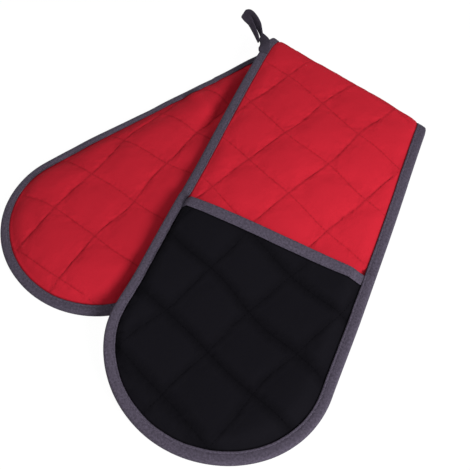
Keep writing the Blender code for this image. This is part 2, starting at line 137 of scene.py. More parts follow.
# Padded crowns between the seams, and their wrinkles
CROWN_POWER = 5
POCKET_CROWN_POWER = 2
CROWN_ROUNDING = 0.8
CROWN_EDGE_RISE = 0.009
FLAT_RISE_SHARES = (0.5, 1.7)
WRINKLE_LENGTH = 0.016
WRINKLE_SHARE = 0.16
WRINKLE_SEED = 5

# Where the fold hides the seams and presses the padding even
JOIN_REACH = 0.006
JOIN_HIDES_SEAMS = 0.01
PRESSED_SHARE = 0.92
FOLD_PRESS = 0.7
FOLD_PRESS_REACH = 0.022
FOLD_EDGE_RISE = 0.0025

# How much fainter the painted shade of each of the two rows of seams is, as a distance, as light across
# one row and along the other would shade them
SEAM_SHADE_FADES = (0.0, 0.0007)
POCKET_SEAM_SHADE_FADES = (0.0035, 0.0)

# How the fold lies askew, its left end and its right end
SKEW_REACH = 0.14
FOLD_SKEW = (-0.0050, 0.0060)
FOLD_SKEW_POWERS = (5, 3)
FOLD_DROP = 0.17
FOLD_TUCK = 0.0046
FOLD_TUCK_STRETCH = (-0.002, 0.014)
FOLD_TUCK_POWER = 6

# How the legs' edges are drawn sideways, with the stretches of u where that sets in and ends
REAR_EDGE_DRAW = 0.0084
REAR_EDGE_STRETCHES = ((0.0, 0.04), (0.07, 0.26))
REAR_LEFT_DRAW = 0.0018
REAR_LEFT_STRETCH = (0.10, 0.20)
REAR_RIGHT_DRAW = 0.0009
REAR_RIGHT_STRETCH = (0.16, 0.22)
REAR_TIP_DRAW = 0.0007
REAR_TIP_STRETCH = (0.28, 0.36)
FRONT_EDGE_BOW = 0.0014
FRONT_BOW_STRETCHES = ((-0.02, 0.01), (0.24, 0.34))
FRONT_EDGE_DRAW = 0.0027
FRONT_DRAW_STRETCHES = ((0.03, 0.18), (0.28, 0.35))
FRONT_TIP_TURN = 0.0009
FRONT_TURN_STRETCH = (0.31, 0.39)
FRONT_TIP_REACH = 0.0009
FRONT_REACH_STRETCH = (0.32, 0.39)
MOUTH_SKEW = (-0.0019, 0.0028)
MOUTH_SKEW_REACH = 0.07

# Crumples of the rear leg where the front leg and the fold press it together
CRUMPLE_STRETCHES = ((0.035, 0.065), (0.125, 0.185))
CRUMPLE_EDGE_RISE = 0.012
CRUMPLE_SINK = 0.0044
CRUMPLE_SINK_WIDTH = 0.0080
CRUMPLE_WAVE = 0.0034
CRUMPLE_WAVE_LENGTH = 0.014
CRUMPLE_WAVE_SEED = 8
CRUMPLE_WAVE_SLANT = 0.3
CRUMPLE_LIFT_SHARE = 0.4

# The hump of the rear leg beside the front leg's edge, rising from a crease
CREASE_U = 0.062
CREASE_V = -0.055
CREASE_TURN = math.radians(21.6)
HUMP_HEIGHT = 0.0085
HUMP_RISE = (-0.006, 0.015)
HUMP_STRETCHES = ((0.030, 0.065), (0.135, 0.185))
HUMP_SIDE_STRETCH = (0.02, 0.07)
HUMP_ROOM = 0.0006

# Pockets, and how their mouth bindings thin out under the edge binding, in room and in cloth
MOUTH_START = 0.0013
MOUTH_RAMP = 0.008
POCKET_TUCK = 0.0040
MOUTH_THINNING = 0.003
MOUTH_PRESSED_SHARES = (0.5, 0.75)

# Binding tape: its edge is (inset, height), both as shares of the tape's thickness
FACE_WIDTH_SHARES = {("front", "outer"): 0.92, ("front", "inner"): 1.0, ("rear", "outer"): 1.0,
                     ("rear", "inner"): 0.80}
TAPE_EDGE = ((0, 0.35), (0.25, 0.8), (0.8, 1))
TAPE_NOSE = 0.0021
TAPE_PUFF = 0.0002
TAPE_PUFF_SHARE = 0.55
TAPE_GROOVE = 0.00035
TAPE_GROOVE_RUN = 0.0007
STITCH_INSET = 0.0019
NOSE_STEPS = 8
FOLD_STEPS = 15

# Unevenness of a sewn tape: the share and length of its waves, and how far they move the tape
TAPE_WAVES = ((0.45, 0.0045), (0.8, 0.021))
EDGE_STRAY = 0.00030
EDGE_STRAY_SEED = 5
EDGE_PUFF = 0.00016
EDGE_PUFF_SEED = 14
MOUTH_STRAY = 0.0002
MOUTH_STRAY_SEED = 21

# Stitches: how far they stand out, as shares of the thread, and the shortest and longest stitch
QUILT_STITCH_RISE = 0.15
TAPE_STITCH_RISE = 0.25
STITCH_SHARES = (0.86, 1.08)

# How closely their lines follow the cloth, and where the fold hides them
SEAM_LINE_SPACING = 0.004
MOUTH_LINE_POINTS = 40
FOLD_LINE_POINTS = 9
JOIN_HIDES_STITCHES = 0.4

# Small gathers of the cloth beside the quilting seams
PUCKER_LENGTH = 0.0065
PUCKER_REACH = 0.010
PUCKER_DEPTH = 0.0024
PUCKER_REST = 0.12
PUCKER_BUMP = 0.6

# Painted shade: how dark the cloth is painted where it dips under a tape or into a seam, where shade
# falls, and how far off that reaches
RIM_SHADE = (0.30, 0.0017)
RED_SEAM_SHADE = (0.80, 0.0022)
BLACK_SEAM_SHADE = (0.62, 0.0090)

# Yarns: how thick they are, how they waver, and how they show in the cloth's relief and shade
WAVER_SCALE = 90
YARN_RELIEF = 0.5
FIBRE_RELIEF = 0.9
YARN_SHADE = 0.05
YARN_BUMP = 0.55
YARN_BUMP_SHARE = 0.35
ROUGHNESS_SPREAD = 0.05
COTTON_YARN = 0.00045
TAPE_YARN = 0.00034
TAPE_CLOUDS = 0.0022
LOOP_SHADE = 0.7

# Wadding and thread: how fine their patterns are, and the shades between which they vary
WADDING_CLOUDS = 160
WADDING_FIBRES = 1500
WADDING_SHADES = (0.86, 1)
THREAD_TWIST = 2500
THREAD_SHADES = (0.75, 1.15)

# Cushion simulation, at ten times the real size, and how its result is used
SIM_SCALE = 10
SIM_FRAMES = 18
SIM_SHARE = 0.65
SIM_CLOTH = {"quality": 7, "mass": 0.3, "tension_stiffness": 40, "compression_stiffness": 12,
             "shear_stiffness": 8, "bending_stiffness": 0.6, "vertex_group_mass": "sewn",
             "shrink_min": -0.035, "use_pressure": True, "uniform_pressure_force": 2.6}
HELD_SEAM = 0.0002
HELD_LIFT = 0.02
FULL_PERCENTILE = 90
MOST_SWOLLEN = 1.25
MOST_SIDEWAYS = 0.0008
SWOLLEN_LIFT = 1.2

# Floor and lamps. A lamp's place is how far it stands to the right, towards the camera and up
FLOOR_SIZE = 6.0
FLOOR_GAP = 0.0002
FLOOR_COLOUR = (0.86, 0.86, 0.87, 1)
FLOOR_GLOW = 1.04
FLOOR_GLOW_SHARE = 0.93
KEY_PLACE = (0.74, 0.86, 0.80)
KEY_SIZE = 0.52
FILL_PLACE = (-0.6, 0.9, 0.9)
FILL_SIZE = 0.9

# Which way each face looks, and on which side of the middle each half lies
FACES = (("outer", 1), ("inner", -1))
HALVES = (("left", -1), ("right", 1))

# Hanging loop. Its section is (share of the half width, share of half the thickness)
LOOP_TAPE = 0.0013
LOOP_CLOTH_HALF = 0.005
LOOP_STEPS = 8
LOOP_SECTION = [(-1, 0.3), (-0.9, 1), (-0.45, 1.1), (0, 1), (0.45, 1.1), (0.9, 1), (1, 0.3)]

# Along the loop from its one end to the other, in mm from the swing's axis: centre and half width
LOOP_SHAPE = (
    ((0.5, 8.0, -1.0), (-0.3, -0.8, -3.0)),
    ((-3.9, 3.5, 0.8), (-0.4, -1.2, -3.6)),
    ((-7.2, -1.4, 4.6), (-0.2, -2.2, -4.4)),
    ((-9.4, -5.9, 8.0), (0.5, -3.3, -3.8)),
    ((-12.2, -11.7, 10.4), (0.8, -2.6, -4.2)),
    ((-14.8, -18.8, 10.9), (2.2, -0.7, -3.9)),
    ((-15.4, -24.7, 10.2), (3.2, -0.1, -2.9)),
    ((-13.9, -29.0, 8.0), (3.9, -0.1, -2.1)),
    ((-10.9, -23.5, 7.9), (3.0, 0.1, -3.4)),
    ((-8.5, -16.7, 8.3), (2.0, -0.6, -4.4)),
    ((-5.7, -11.3, 6.8), (0.6, -1.8, -4.5)),
    ((-2.7, -5.8, 4.6), (-0.4, -2.4, -4.3)),
    ((-0.1, -0.8, 2.2), (-0.6, -2.4, -3.8)),
    ((3.6, 5.0, -0.6), (-0.4, -1.0, -3.0)),
)

# The sewn-down end that holds the loop, from the front leg's binding to the axis
TAB_SHAPE = (
    ((23.0, 24.7, 8.75), (-1.3, 4.9, -0.05)),
    ((17.5, 21.5, 8.75), (-3.0, 4.6, 0.0)),
    ((9.2, 17.0, 7.2), (-5.6, 2.6, 0.8)),
    ((3.5, 10.5, 5.0), (-5.6, -0.2, 1.2)),
    ((-0.2, 4.6, 2.9), (-5.2, -2.0, 1.2)),
)


def clamped(t):
    return np.clip(t, 0.0, 1.0)


def eased(t):
    t = clamped(t)
    return t * t * (3 - 2 * t)


def risen(t, start, end):
    """0 up to the start, 1 from the end on."""
    return eased((t - start) / (end - start))


def within(t, rise, fall):
    """0 before the rise and after the fall, 1 between them."""
    return risen(t, *rise) * (1 - risen(t, *fall))


def mixed(a, b, t):
    return a + (b - a) * t


def metres(name, description, default):
    return FloatProperty(name=name, description=description, default=default, unit="LENGTH",
                         subtype="DISTANCE", precision=4)


def colour(name, description, default):
    return FloatVectorProperty(name=name, description=description, default=default, size=3,
                               subtype="COLOR", min=0.0, max=1.0)


class GloveSizes(bpy.types.PropertyGroup):
    strip_width: metres("Strip width", "Width over the binding", 0.190)
    front_length: metres("Front leg", "Fold to the front leg's tip", 0.4080)
    rear_length: metres("Rear leg", "Fold to the rear leg's tip", 0.3750)
    tip_length: metres("Tip", "Length of the round end", 0.0860)
    pocket_depth: metres("Pocket depth", "Mouth to tip", 0.204)
    quilt_pitch: metres("Quilting pitch", "Side of a quilted square", 0.0508)
    binding_width: metres("Binding width", "How far the tape covers each face", 0.0105)
    mouth_width: metres("Mouth binding", "Width of the tape along the pocket's mouth", 0.0110)
    tape_cloth: metres("Tape thickness", "Thickness of the folded tape", 0.0010)
    front_hollow: metres("Front hollow", "Room that the front pocket keeps when it lies flat", 0.0014)
    rear_hollow: metres("Rear hollow", "Room in the pocket under the rear leg", 0.0056)


class GloveStitches(bpy.types.PropertyGroup):
    stitch_length: metres("Stitch", "Length of one stitch", 0.0026)
    stitch_step: metres("Stitch step", "Distance from one stitch to the next", 0.0033)
    thread_width: metres("Thread", "Width of the thread", 0.00042)
    seed: IntProperty(name="Seed", description="Seed of the stitches' small differences", default=7)


class GloveColours(bpy.types.PropertyGroup):
    red: colour("Red", "Red cotton of the outer face", (0.500, 0.0145, 0.029))
    # The folded-in face's red is the outer red a little darker, as painted shade for the rear leg,
    # which shows this face lower down
    inner_red: colour("Inner red", "Red cotton of the folded-in face", (0.475, 0.0140, 0.0280))
    black: colour("Black", "Black cotton of the pockets", (0.0062, 0.0057, 0.0079))
    binding: colour("Binding", "Violet grey tape", (0.070, 0.059, 0.084))
    wadding: colour("Wadding", "White wadding", (0.78, 0.77, 0.73))


class GloveStudio(bpy.types.PropertyGroup):
    lens: FloatProperty(name="Lens", description="Focal length in mm on a 36 mm sensor", default=54.84)
    azimuth: FloatProperty(name="Direction", description="Where the camera looks, from +X towards +Y",
                           default=math.radians(217.53), subtype="ANGLE")
    elevation: FloatProperty(name="Elevation", description="Camera above the floor",
                             default=math.radians(56.34), subtype="ANGLE")
    roll: FloatProperty(name="Roll", description="Turn of the picture", default=math.radians(0.142),
                        subtype="ANGLE")
    distance: metres("Distance", "Camera to the point of the floor at the picture's middle", 0.6543)
    aim_x: metres("Aim X", "That point, from the fold's lower corner", 0.2072)
    aim_y: metres("Aim Y", "That point, from the fold's lower corner", 0.0232)
    key_power: FloatProperty(name="Key lamp", description="Power of the large lamp", default=19.2,
                             unit="POWER")
    fill_power: FloatProperty(name="Fill lamp", description="Power of the opposite lamp", default=1.4,
                              unit="POWER")
    ambient: FloatProperty(name="Ambient", description="Light from all round", default=0.40)


class GloveSettings(bpy.types.PropertyGroup):
    sizes: PointerProperty(type=GloveSizes)
    stitches: PointerProperty(type=GloveStitches)
    colours: PointerProperty(type=GloveColours)
    studio: PointerProperty(type=GloveStudio)


def waves(u, v, seed, wavelength):
    """Smooth unevenness from -1 to 1 over the flat cloth."""
    shift = SEED_STEP * seed
    return np.array([noise.noise(Vector((a / wavelength + shift, b / wavelength - shift, seed)))
                     for a, b in zip(np.ravel(u), np.ravel(v))]).reshape(np.shape(u))


class Quilting:
    """Two crossing rows of seams on the flat cloth, sewn by hand and eye, so never quite straight."""

    def __init__(self, pitch, turn, u, v, seed, crown_power, fades):
        self.pitch = pitch
        self.turn = turn
        self.u = u
        self.v = v
        self.seed = seed
        self.crown_power = crown_power
        self.fades = fades

    def wander(self, u, v):
        """How far the seams stray."""
        return (SEAM_WANDER * waves(u, v, self.seed, WANDER_LENGTH),
                SEAM_WANDER * waves(u, v, self.seed + SECOND_SEED_STEP, WANDER_LENGTH))

    def squares(self, u, v):
        """The point counted in quilted squares along both directions of seams."""
        stray_u, stray_v = self.wander(u, v)
        along = (u + stray_u - self.u) / self.pitch
        across = (v + stray_v - self.v) / self.pitch
        first = along * math.cos(self.turn) + across * math.sin(self.turn) + QUILT_START_SHARE
        second = across * math.cos(self.turn) - along * math.sin(self.turn)
        return first, second

    def straight(self, first, second):
        """Where a point counted in squares would be, if the seams didn't stray."""
        along, across = (first - QUILT_START_SHARE) * self.pitch, second * self.pitch
        return (self.u + along * math.cos(self.turn) - across * math.sin(self.turn),
                self.v + along * math.sin(self.turn) + across * math.cos(self.turn))

    def from_squares(self, first, second):
        """Where a point counted in squares is, found by a few tries."""
        straight_u, straight_v = self.straight(first, second)
        u, v = straight_u, straight_v
        for attempt in range(WANDER_TRIES):
            stray_u, stray_v = self.wander(u, v)
            u, v = straight_u - stray_u, straight_v - stray_v
        return u, v

    def squares_over(self, length):
        """How many squares cover a length, either way from the start."""
        return math.ceil(length / self.pitch) + SPARE_SQUARES

    def off_seams(self, u, v):
        """The distances to the nearest seam of each row."""
        return [self.pitch * np.abs(t - np.round(t)) for t in self.squares(u, v)]

    def seam_mark(self, u, v):
        """The distance that sets the seams' painted shade and their puckers, with one row of them
        fainter than the other.
        """
        first, second = self.off_seams(u, v)
        return np.minimum(first + self.fades[0], second + self.fades[1])

    def pillow(self, u, v):
        """0 on the quilting seams, 1 on a square's crown."""
        shape = 1.0
        for t in self.squares(u, v):
            off_crown = np.abs(1 - 2 * np.abs(t - np.round(t)))
            shape = shape * (1 - off_crown ** self.crown_power) ** CROWN_ROUNDING
        return shape


class Leg:
    """One half of the strip. u runs from the fold to the tip, v across it and n off its outer face."""

    def __init__(self, sizes, length, hollow):
        self.sizes = sizes
        self.length = length
        self.hollow = hollow
        self.quilt = Quilting(sizes.quilt_pitch, *self.quilt_start, CROWN_POWER, SEAM_SHADE_FADES)
        self.pocket_quilt = Quilting(sizes.quilt_pitch, *self.pocket_quilt_start, POCKET_CROWN_POWER,
                                     POCKET_SEAM_SHADE_FADES)
        self.half_width = sizes.strip_width / 2
        self.tip_centre = length - sizes.tip_length
        self.mouth = length - sizes.pocket_depth

    def depth_inside(self, u, v):
        """The distance in from the leg's edge."""
        along = u - self.tip_centre
        reach = np.hypot(along / self.sizes.tip_length, v / self.half_width)
        round_end = np.hypot(along, v) * (1 / np.maximum(reach, 1e-9) - 1)
        return np.where(along <= 0, self.half_width - np.abs(v), round_end)

    def inside_pocket(self, u, v):
        """The share of its full height that the solid pocket has at a point."""
        t = clamped((self.depth_inside(u, v) - self.sizes.binding_width - CLOTH) / POCKET_RISE)
        gentle = mixed(KNEE_LIFT_SHARE, 1, (t - KNEE_SHARE) / (1 - KNEE_SHARE))
        return np.minimum(KNEE_LIFT_SHARE * t / KNEE_SHARE, gentle)

    def face_width(self, face):
        """How far the tape covers the outer or the inner face."""
        return self.sizes.binding_width * FACE_WIDTH_SHARES[self.name, face]

    def below_mouth(self, u, run):
        """0 at the mouth binding, 1 from a run further on."""
        return eased((u - self.mouth - self.sizes.mouth_width - PIECE_GAP) / run)

    def over_pocket(self, u):
        """0 where the edge binding holds the strip alone, 1 where it also holds the pocket."""
        return eased((u - self.mouth + MOUTH_RAMP) / MOUTH_RAMP)

    def developed(self, u, v):
        """Distance from the leg's end of the fold, counted along the cloth round the fold."""
        return u * math.cos(SPLAY) - self.up * v * math.sin(SPLAY)

    def u_at(self, along, v):
        """The u of a point across the leg, at that distance from the fold."""
        return (along + self.up * v * math.sin(SPLAY)) / math.cos(SPLAY)

    def place(self, u, v, n):
        """Places in the scene, on the lying leg and round the fold."""
        u, v, n = np.broadcast_arrays(u, v, n)
        along = self.developed(u, v)
        u, v = self.drawn(u, v)
        along = np.where(along > SKEW_REACH / 2, self.developed(u, v), along)
        y = self.up * (u * math.sin(SPLAY) + FACET_SHIFT) + v * math.cos(SPLAY)
        angle = (along + FACET) / (FACET + FOLD_CENTRE) * math.pi / 2
        radius = FOLD_RADIUS - STRIP_HALF + n
        in_fold = along < FOLD_CENTRE
        x = np.where(in_fold, FOLD_CENTRE - radius * np.cos(angle), along)
        z = np.where(in_fold, FOLD_RADIUS + self.up * radius * np.sin(angle),
                     self.middle(u, v) + self.up * n)
        near = 1 - risen(x, 0, SKEW_REACH)
        share = clamped(y * math.cos(SPLAY) / (2 * self.half_width) + 0.5)
        left, right = (1 - share) ** FOLD_SKEW_POWERS[0], share ** FOLD_SKEW_POWERS[1]
        tucked = 1 - risen(x, *FOLD_TUCK_STRETCH)
        y = y + FOLD_TUCK * tucked * (1 - share) ** FOLD_TUCK_POWER
        x = x + near * (FOLD_SKEW[0] * left + FOLD_SKEW[1] * right)
        z = z * (1 - FOLD_DROP * near * right)
        return np.stack([x, y, z], axis=-1) + np.array(FOLD_CORNER)

    def facing(self, u, v, n):
        """Which way the outer face looks there."""
        step = self.place(u, v, n + CLOTH) - self.place(u, v, n)
        return step / np.linalg.norm(step, axis=-1, keepdims=True)

    def stitch_line(self, u, v, n, side=1):
        """The places of a line of stitches, and the way each looks: inwards where side is -1."""
        return self.place(u, v, n), side * self.facing(u, v, n)

    def unevenness(self, u, v):
        """How far the cloth lifts off its level here and there, away from the fold."""
        away = risen(self.developed(u, v), FOLD_CENTRE, FOLD_CENTRE + POCKET_RISE)
        return away * sum(height * (1 + waves(u, v, seed + self.up, length))
                          for seed, height, length in UNEVEN_WAVES)

    def pocket_step(self, u, v):
        """From the strip's middle to the pocket panel's."""
        return mixed(SEWN_STEP, STRIP_HALF + POCKET_HALF + self.hollow, self.rise(u, v))

    def at_fold(self, u, v):
        """1 where the two legs' cloth meets in the fold, 0 from a little further on."""
        return 1 - eased(np.abs(self.developed(u, v) - self.start) / JOIN_REACH)


class RearLeg(Leg):
    """The lower leg. The front leg lies across it, and its own pocket is underneath."""

    name = "rear"
    up = -1
    start = -FOLD_PART
    quilt_start = REAR_QUILT
    pocket_quilt_start = REAR_QUILT

    def rise(self, u, v):
        """The scene's rear pocket keeps the solid one's shape."""
        return self.inside_pocket(u, v)

    def drawn(self, u, v):
        """The left edge is drawn in towards the fold, and the round end is a little narrower."""
        left = clamped(-v / self.half_width) ** 2
        right = clamped(v / self.half_width) ** 2
        shift = (REAR_EDGE_DRAW * left * within(u, *REAR_EDGE_STRETCHES)
                 + REAR_LEFT_DRAW * left * risen(u, *REAR_LEFT_STRETCH)
                 - REAR_RIGHT_DRAW * right * risen(u, *REAR_RIGHT_STRETCH))
        return u - REAR_TIP_DRAW * risen(u, *REAR_TIP_STRETCH), v + shift

    def crumples(self, u, v):
        """How the leg sinks along its long seams and ripples where it is pressed together."""
        inside = eased((self.depth_inside(u, v) - self.sizes.binding_width) / CRUMPLE_EDGE_RISE)
        off_seam = self.quilt.off_seams(u, v)[0]
        sink = CRUMPLE_SINK * np.exp(-(off_seam / CRUMPLE_SINK_WIDTH) ** 2)
        ripple = waves(u, CRUMPLE_WAVE_SLANT * v, CRUMPLE_WAVE_SEED, CRUMPLE_WAVE_LENGTH)
        rise = CRUMPLE_WAVE * (ripple + CRUMPLE_LIFT_SHARE)
        return within(u, *CRUMPLE_STRETCHES) * inside * (rise - sink)

    def hump(self, u, v, level):
        """How far the leg rises under the front leg's edge, as far as there is room."""
        off_crease = (v - CREASE_V) * math.cos(CREASE_TURN) - (u - CREASE_U) * math.sin(CREASE_TURN)
        rise = HUMP_HEIGHT * risen(off_crease, *HUMP_RISE) * within(u, *HUMP_STRETCHES)
        rise = rise * (1 - risen(v, *HUMP_SIDE_STRETCH))
        room = FOLD_HEIGHT - 3 * STRIP_HALF - HUMP_ROOM - level
        return np.minimum(rise, np.maximum(room, 0))

    def middle(self, u, v):
        """On the floor by the fold, and over its own pocket further out."""
        inside = self.inside_pocket(u, v) * self.below_mouth(u, REAR_MOUTH_CLIMB)
        pocket = mixed(TAPE_ROOM + self.sizes.tape_cloth, POCKET_HALF - CLOTH, inside)
        level = mixed(STRIP_HALF, pocket + self.pocket_step(u, v), risen(u, *REAR_CLIMB))
        level = level + self.unevenness(u, v) + self.crumples(u, v)
        return level + self.hump(u, v, level)


class FrontLeg(Leg):
    """The upper leg, with its pocket on top."""

    name = "front"
    up = 1
    start = -FACET - FOLD_PART
    quilt_start = FRONT_QUILT
    pocket_quilt_start = FRONT_POCKET_QUILT

    def rise(self, u, v):
        """The pocket lies flat, so it rises as the padding under it does, and at once on its left."""
        run = mixed(*FLAT_RISE_SHARES, clamped(0.5 + v / (2 * self.half_width))) * CROWN_EDGE_RISE
        return eased((self.depth_inside(u, v) - self.face_width("outer")) / run)

    def drawn(self, u, v):
        """The edges are drawn sideways, the mouth lies askew and the tip is a little turned."""
        across = v / self.half_width
        skew = mixed(*MOUTH_SKEW, clamped(across / 2 + 0.5))
        skew = skew * (1 - risen(np.abs(u - self.mouth), 0, MOUTH_SKEW_REACH))
        shift = (FRONT_EDGE_BOW * clamped(across) ** 2 * within(u, *FRONT_BOW_STRETCHES)
                 + FRONT_EDGE_DRAW * clamped(-across) ** 2 * within(u, *FRONT_DRAW_STRETCHES)
                 + FRONT_TIP_TURN * risen(u, *FRONT_TURN_STRETCH))
        return u + skew + FRONT_TIP_REACH * risen(u, *FRONT_REACH_STRETCH), v + shift

    def middle(self, u, v):
        """Level over the rear leg, and sloping off it to the floor."""
        x = self.developed(u, v)
        y = u * math.sin(SPLAY) + v * math.cos(SPLAY) + 2 * FACET_SHIFT
        slope = risen(x * math.sin(SPLAY) + y * math.cos(SPLAY), *FRONT_SLOPE)
        lying = slope * risen(x, FOLD_CENTRE, FRONT_LEVEL_END)
        room = (FOLD_HEIGHT - 2 * STRIP_HALF) * (1 - lying) * FRONT_SAG_SHARE
        sag = room * self.inside_pocket(u, v) * eased((u - self.mouth) / POCKET_RISE) * slope
        return mixed(FOLD_HEIGHT - STRIP_HALF, STRIP_HALF, lying) - sag + self.unevenness(u, v)


def both_legs():
    """The rear leg and the front leg, in the sizes that the panel shows."""
    sizes = bpy.context.scene.glove.sizes
    return (RearLeg(sizes, sizes.rear_length, sizes.rear_hollow),
            FrontLeg(sizes, sizes.front_length, sizes.front_hollow))


# Making meshes

def added(name, data):
    """A new object in the scene."""
    made = bpy.data.objects.new(name, data)
    bpy.context.scene.collection.objects.link(made)
    return made


def new_piece(name, points, faces, material, uv, floats):
    """A finished mesh object at the origin, with its place in its mesh and its faces turned out."""
    mesh = bpy.data.meshes.new(name)
    mesh.from_pydata([tuple(p) for p in points], [], faces)
    mesh.validate()
    layer = mesh.uv_layers.new(name="cloth")
    loops = np.zeros(len(mesh.loops), np.int32)
    mesh.loops.foreach_get("vertex_index", loops)
    layer.data.foreach_set("uv", np.asarray(uv, np.float32)[loops].ravel())
    for key, values in floats.items():
        mesh.attributes.new(key, "FLOAT", "POINT").data.foreach_set(
            "value", np.asarray(values, np.float32))
    mesh.shade_smooth()
    mesh.set_sharp_from_angle(angle=SHARP_ANGLE)
    mesh.materials.append(material)
    turn_outwards(mesh)
    return added(name, mesh)


def turn_outwards(mesh):
    """Turns the faces of a closed body out, if its volume comes out negative."""
    mesh.calc_loop_triangles()
    corners = np.array([[mesh.vertices[i].co for i in t.vertices] for t in mesh.loop_triangles])
    volume = np.einsum("ij,ij->i", corners[:, 0], np.cross(corners[:, 1], corners[:, 2])).sum()
    if volume < 0:
        mesh.flip_normals()


def closed_sheet(name, triangles, top, bottom, material, uv, floats):
    """A closed body between a top and a bottom surface over the same flat triangles."""
    used = np.unique(triangles)
    count = len(used)
    index = np.full(len(top), -1)
    index[used] = np.arange(count)
    upper = index[triangles]
    edges = [edge for a, b, c in upper.tolist() for edge in ((a, b), (b, c), (c, a))]
    known = set(edges)
    walls = [(b, a, a + count, b + count) for a, b in edges if (b, a) not in known]
    faces = upper.tolist() + (upper[:, ::-1] + count).tolist() + walls
    points = np.concatenate([top[used], bottom[used]])
    doubled = {key: np.tile(values[used], 2) for key, values in floats.items()}
    return new_piece(name, points, faces, material, np.tile(uv[used], (2, 1)), doubled)


def swept_tape(name, rings, material, uv):
    """A folded tape: rings of points, each an outer path and then the inner path back."""
    stations, size = rings.shape[:2]
    faces = []
    for i in range(stations - 1):
        for j in range(size):
            k = (j + 1) % size
            faces.append((i * size + j, i * size + k, (i + 1) * size + k, (i + 1) * size + j))
    last = (stations - 1) * size
    for j in range(size // 2 - 1):
        cap = (j, size - 1 - j, size - 2 - j, j + 1)
        faces.append(cap)
        faces.append(tuple(last + i for i in reversed(cap)))
    return new_piece(name, rings.reshape(-1, 3), faces, material, uv.reshape(-1, 2), {})


def baked(piece):
    """Turns what a piece's modifiers make into its plain mesh."""
    depsgraph = bpy.context.evaluated_depsgraph_get()
    mesh = bpy.data.meshes.new_from_object(piece.evaluated_get(depsgraph), depsgraph=depsgraph)
    mesh.name = piece.name
    piece.modifiers.clear()
    piece.data = mesh
    return piece


# The flat pattern

def rim_line(leg, inset, start, pocket_only=False):
    """Points at an inset from the edge, from the start line round the tip and back."""
    half = leg.half_width - inset
    reach = leg.sizes.tip_length - inset
    sides = []
    for v in (-half, half):
        end = leg.mouth if pocket_only else leg.u_at(start, v)
        count = max(2, round((leg.tip_centre - end) / RIM_SPACING))
        sides.append(np.linspace(end, leg.tip_centre, count, endpoint=False))
    angles = np.linspace(0, math.pi, round(math.pi * half / RIM_SPACING))
    u = np.concatenate([sides[0], leg.tip_centre + reach * np.sin(angles), sides[1][::-1]])
    v = np.concatenate([np.full(len(sides[0]), -half), -half * np.cos(angles),
                        np.full(len(sides[1]), half)])
    return np.stack([u, v], axis=1)


def quilt_grid(leg, quilt, start):
    """Points that follow the quilting, closer together along its seams."""
    count = quilt.squares_over(leg.length)
    steps = np.array([i + share for i in range(-count, count) for share in GRID_SHARES])
    first, second = (each.ravel() for each in np.meshgrid(steps, steps))
    u, v = quilt.straight(first, second)
    near = (u > start - RIM_SPACING) & (u < leg.length) & (np.abs(v) < leg.half_width)
    return np.stack(quilt.from_squares(first[near], second[near]), axis=1)


def doubled_areas(flat, faces):
    """Twice the area of each triangle, below 0 where it runs clockwise."""
    a, b, c = (flat[faces[:, i]] for i in range(3))
    return (b[:, 0] - a[:, 0]) * (c[:, 1] - a[:, 1]) - (b[:, 1] - a[:, 1]) * (c[:, 0] - a[:, 0])


def triangulated(outline, chains, loose):
    """Points and triangles inside a flat outline, with the chains kept as edges."""
    points = [Vector(p) for p in outline]
    edges = []
    for chain in chains:
        edges += [(len(points) + i, len(points) + i + 1) for i in range(len(chain) - 1)]
        points += [Vector(p) for p in chain]
    points += [Vector(p) for p in loose]
    found = delaunay_2d_cdt(points, edges, [list(range(len(outline)))], 0, 1e-6, True)
    faces = np.array([face for face, whose in zip(found[2], found[5]) if whose])
    flat = np.array([(p.x, p.y) for p in found[0]])
    area = doubled_areas(flat, faces)
    faces[area < 0] = faces[area < 0][:, ::-1]
    return flat, faces[np.abs(area) > FLAT_TRIANGLE]


def across_line(leg, along, inset):
    """Points on a line across the strip, parallel to the fold."""
    half = leg.half_width - inset
    v = np.linspace(half, -half, round(2 * half / (2 * RIM_SPACING)))
    return np.stack([leg.u_at(along, v), v], axis=1)


def strip_pattern(leg):
    """The leg's flat cloth, with its share of the fold."""
    start = leg.start
    rim = POCKET_TUCK / 2
    outline = np.concatenate([rim_line(leg, rim, start), across_line(leg, start, rim)[1:-1]])
    insets = (leg.sizes.binding_width, leg.sizes.binding_width + RIM_SPACING)
    rings = [rim_line(leg, inset, start + RIM_SPACING) for inset in insets]
    splits = [start]
    chains = []
    if leg.up > 0:
        splits.append(-FOLD_PART)
        chains.append(across_line(leg, -FOLD_PART, rim + KEEP_CLEAR / 2))
    grid = quilt_grid(leg, leg.quilt, -2 * FACET - FACET_SHIFT - leg.half_width * math.tan(SPLAY))

    def free(points, least_depth):
        """The points inside that depth that keep clear of the lines across the strip."""
        along = leg.developed(points[:, 0], points[:, 1])
        keep = leg.depth_inside(points[:, 0], points[:, 1]) > least_depth
        keep &= along > start + KEEP_CLEAR
        for split in splits:
            keep &= np.abs(along - split) > KEEP_CLEAR
        return points[keep]

    loose = [free(ring, rim) for ring in rings] + [free(grid, insets[-1] + KEEP_CLEAR)]
    return triangulated(outline, chains, np.concatenate(loose))


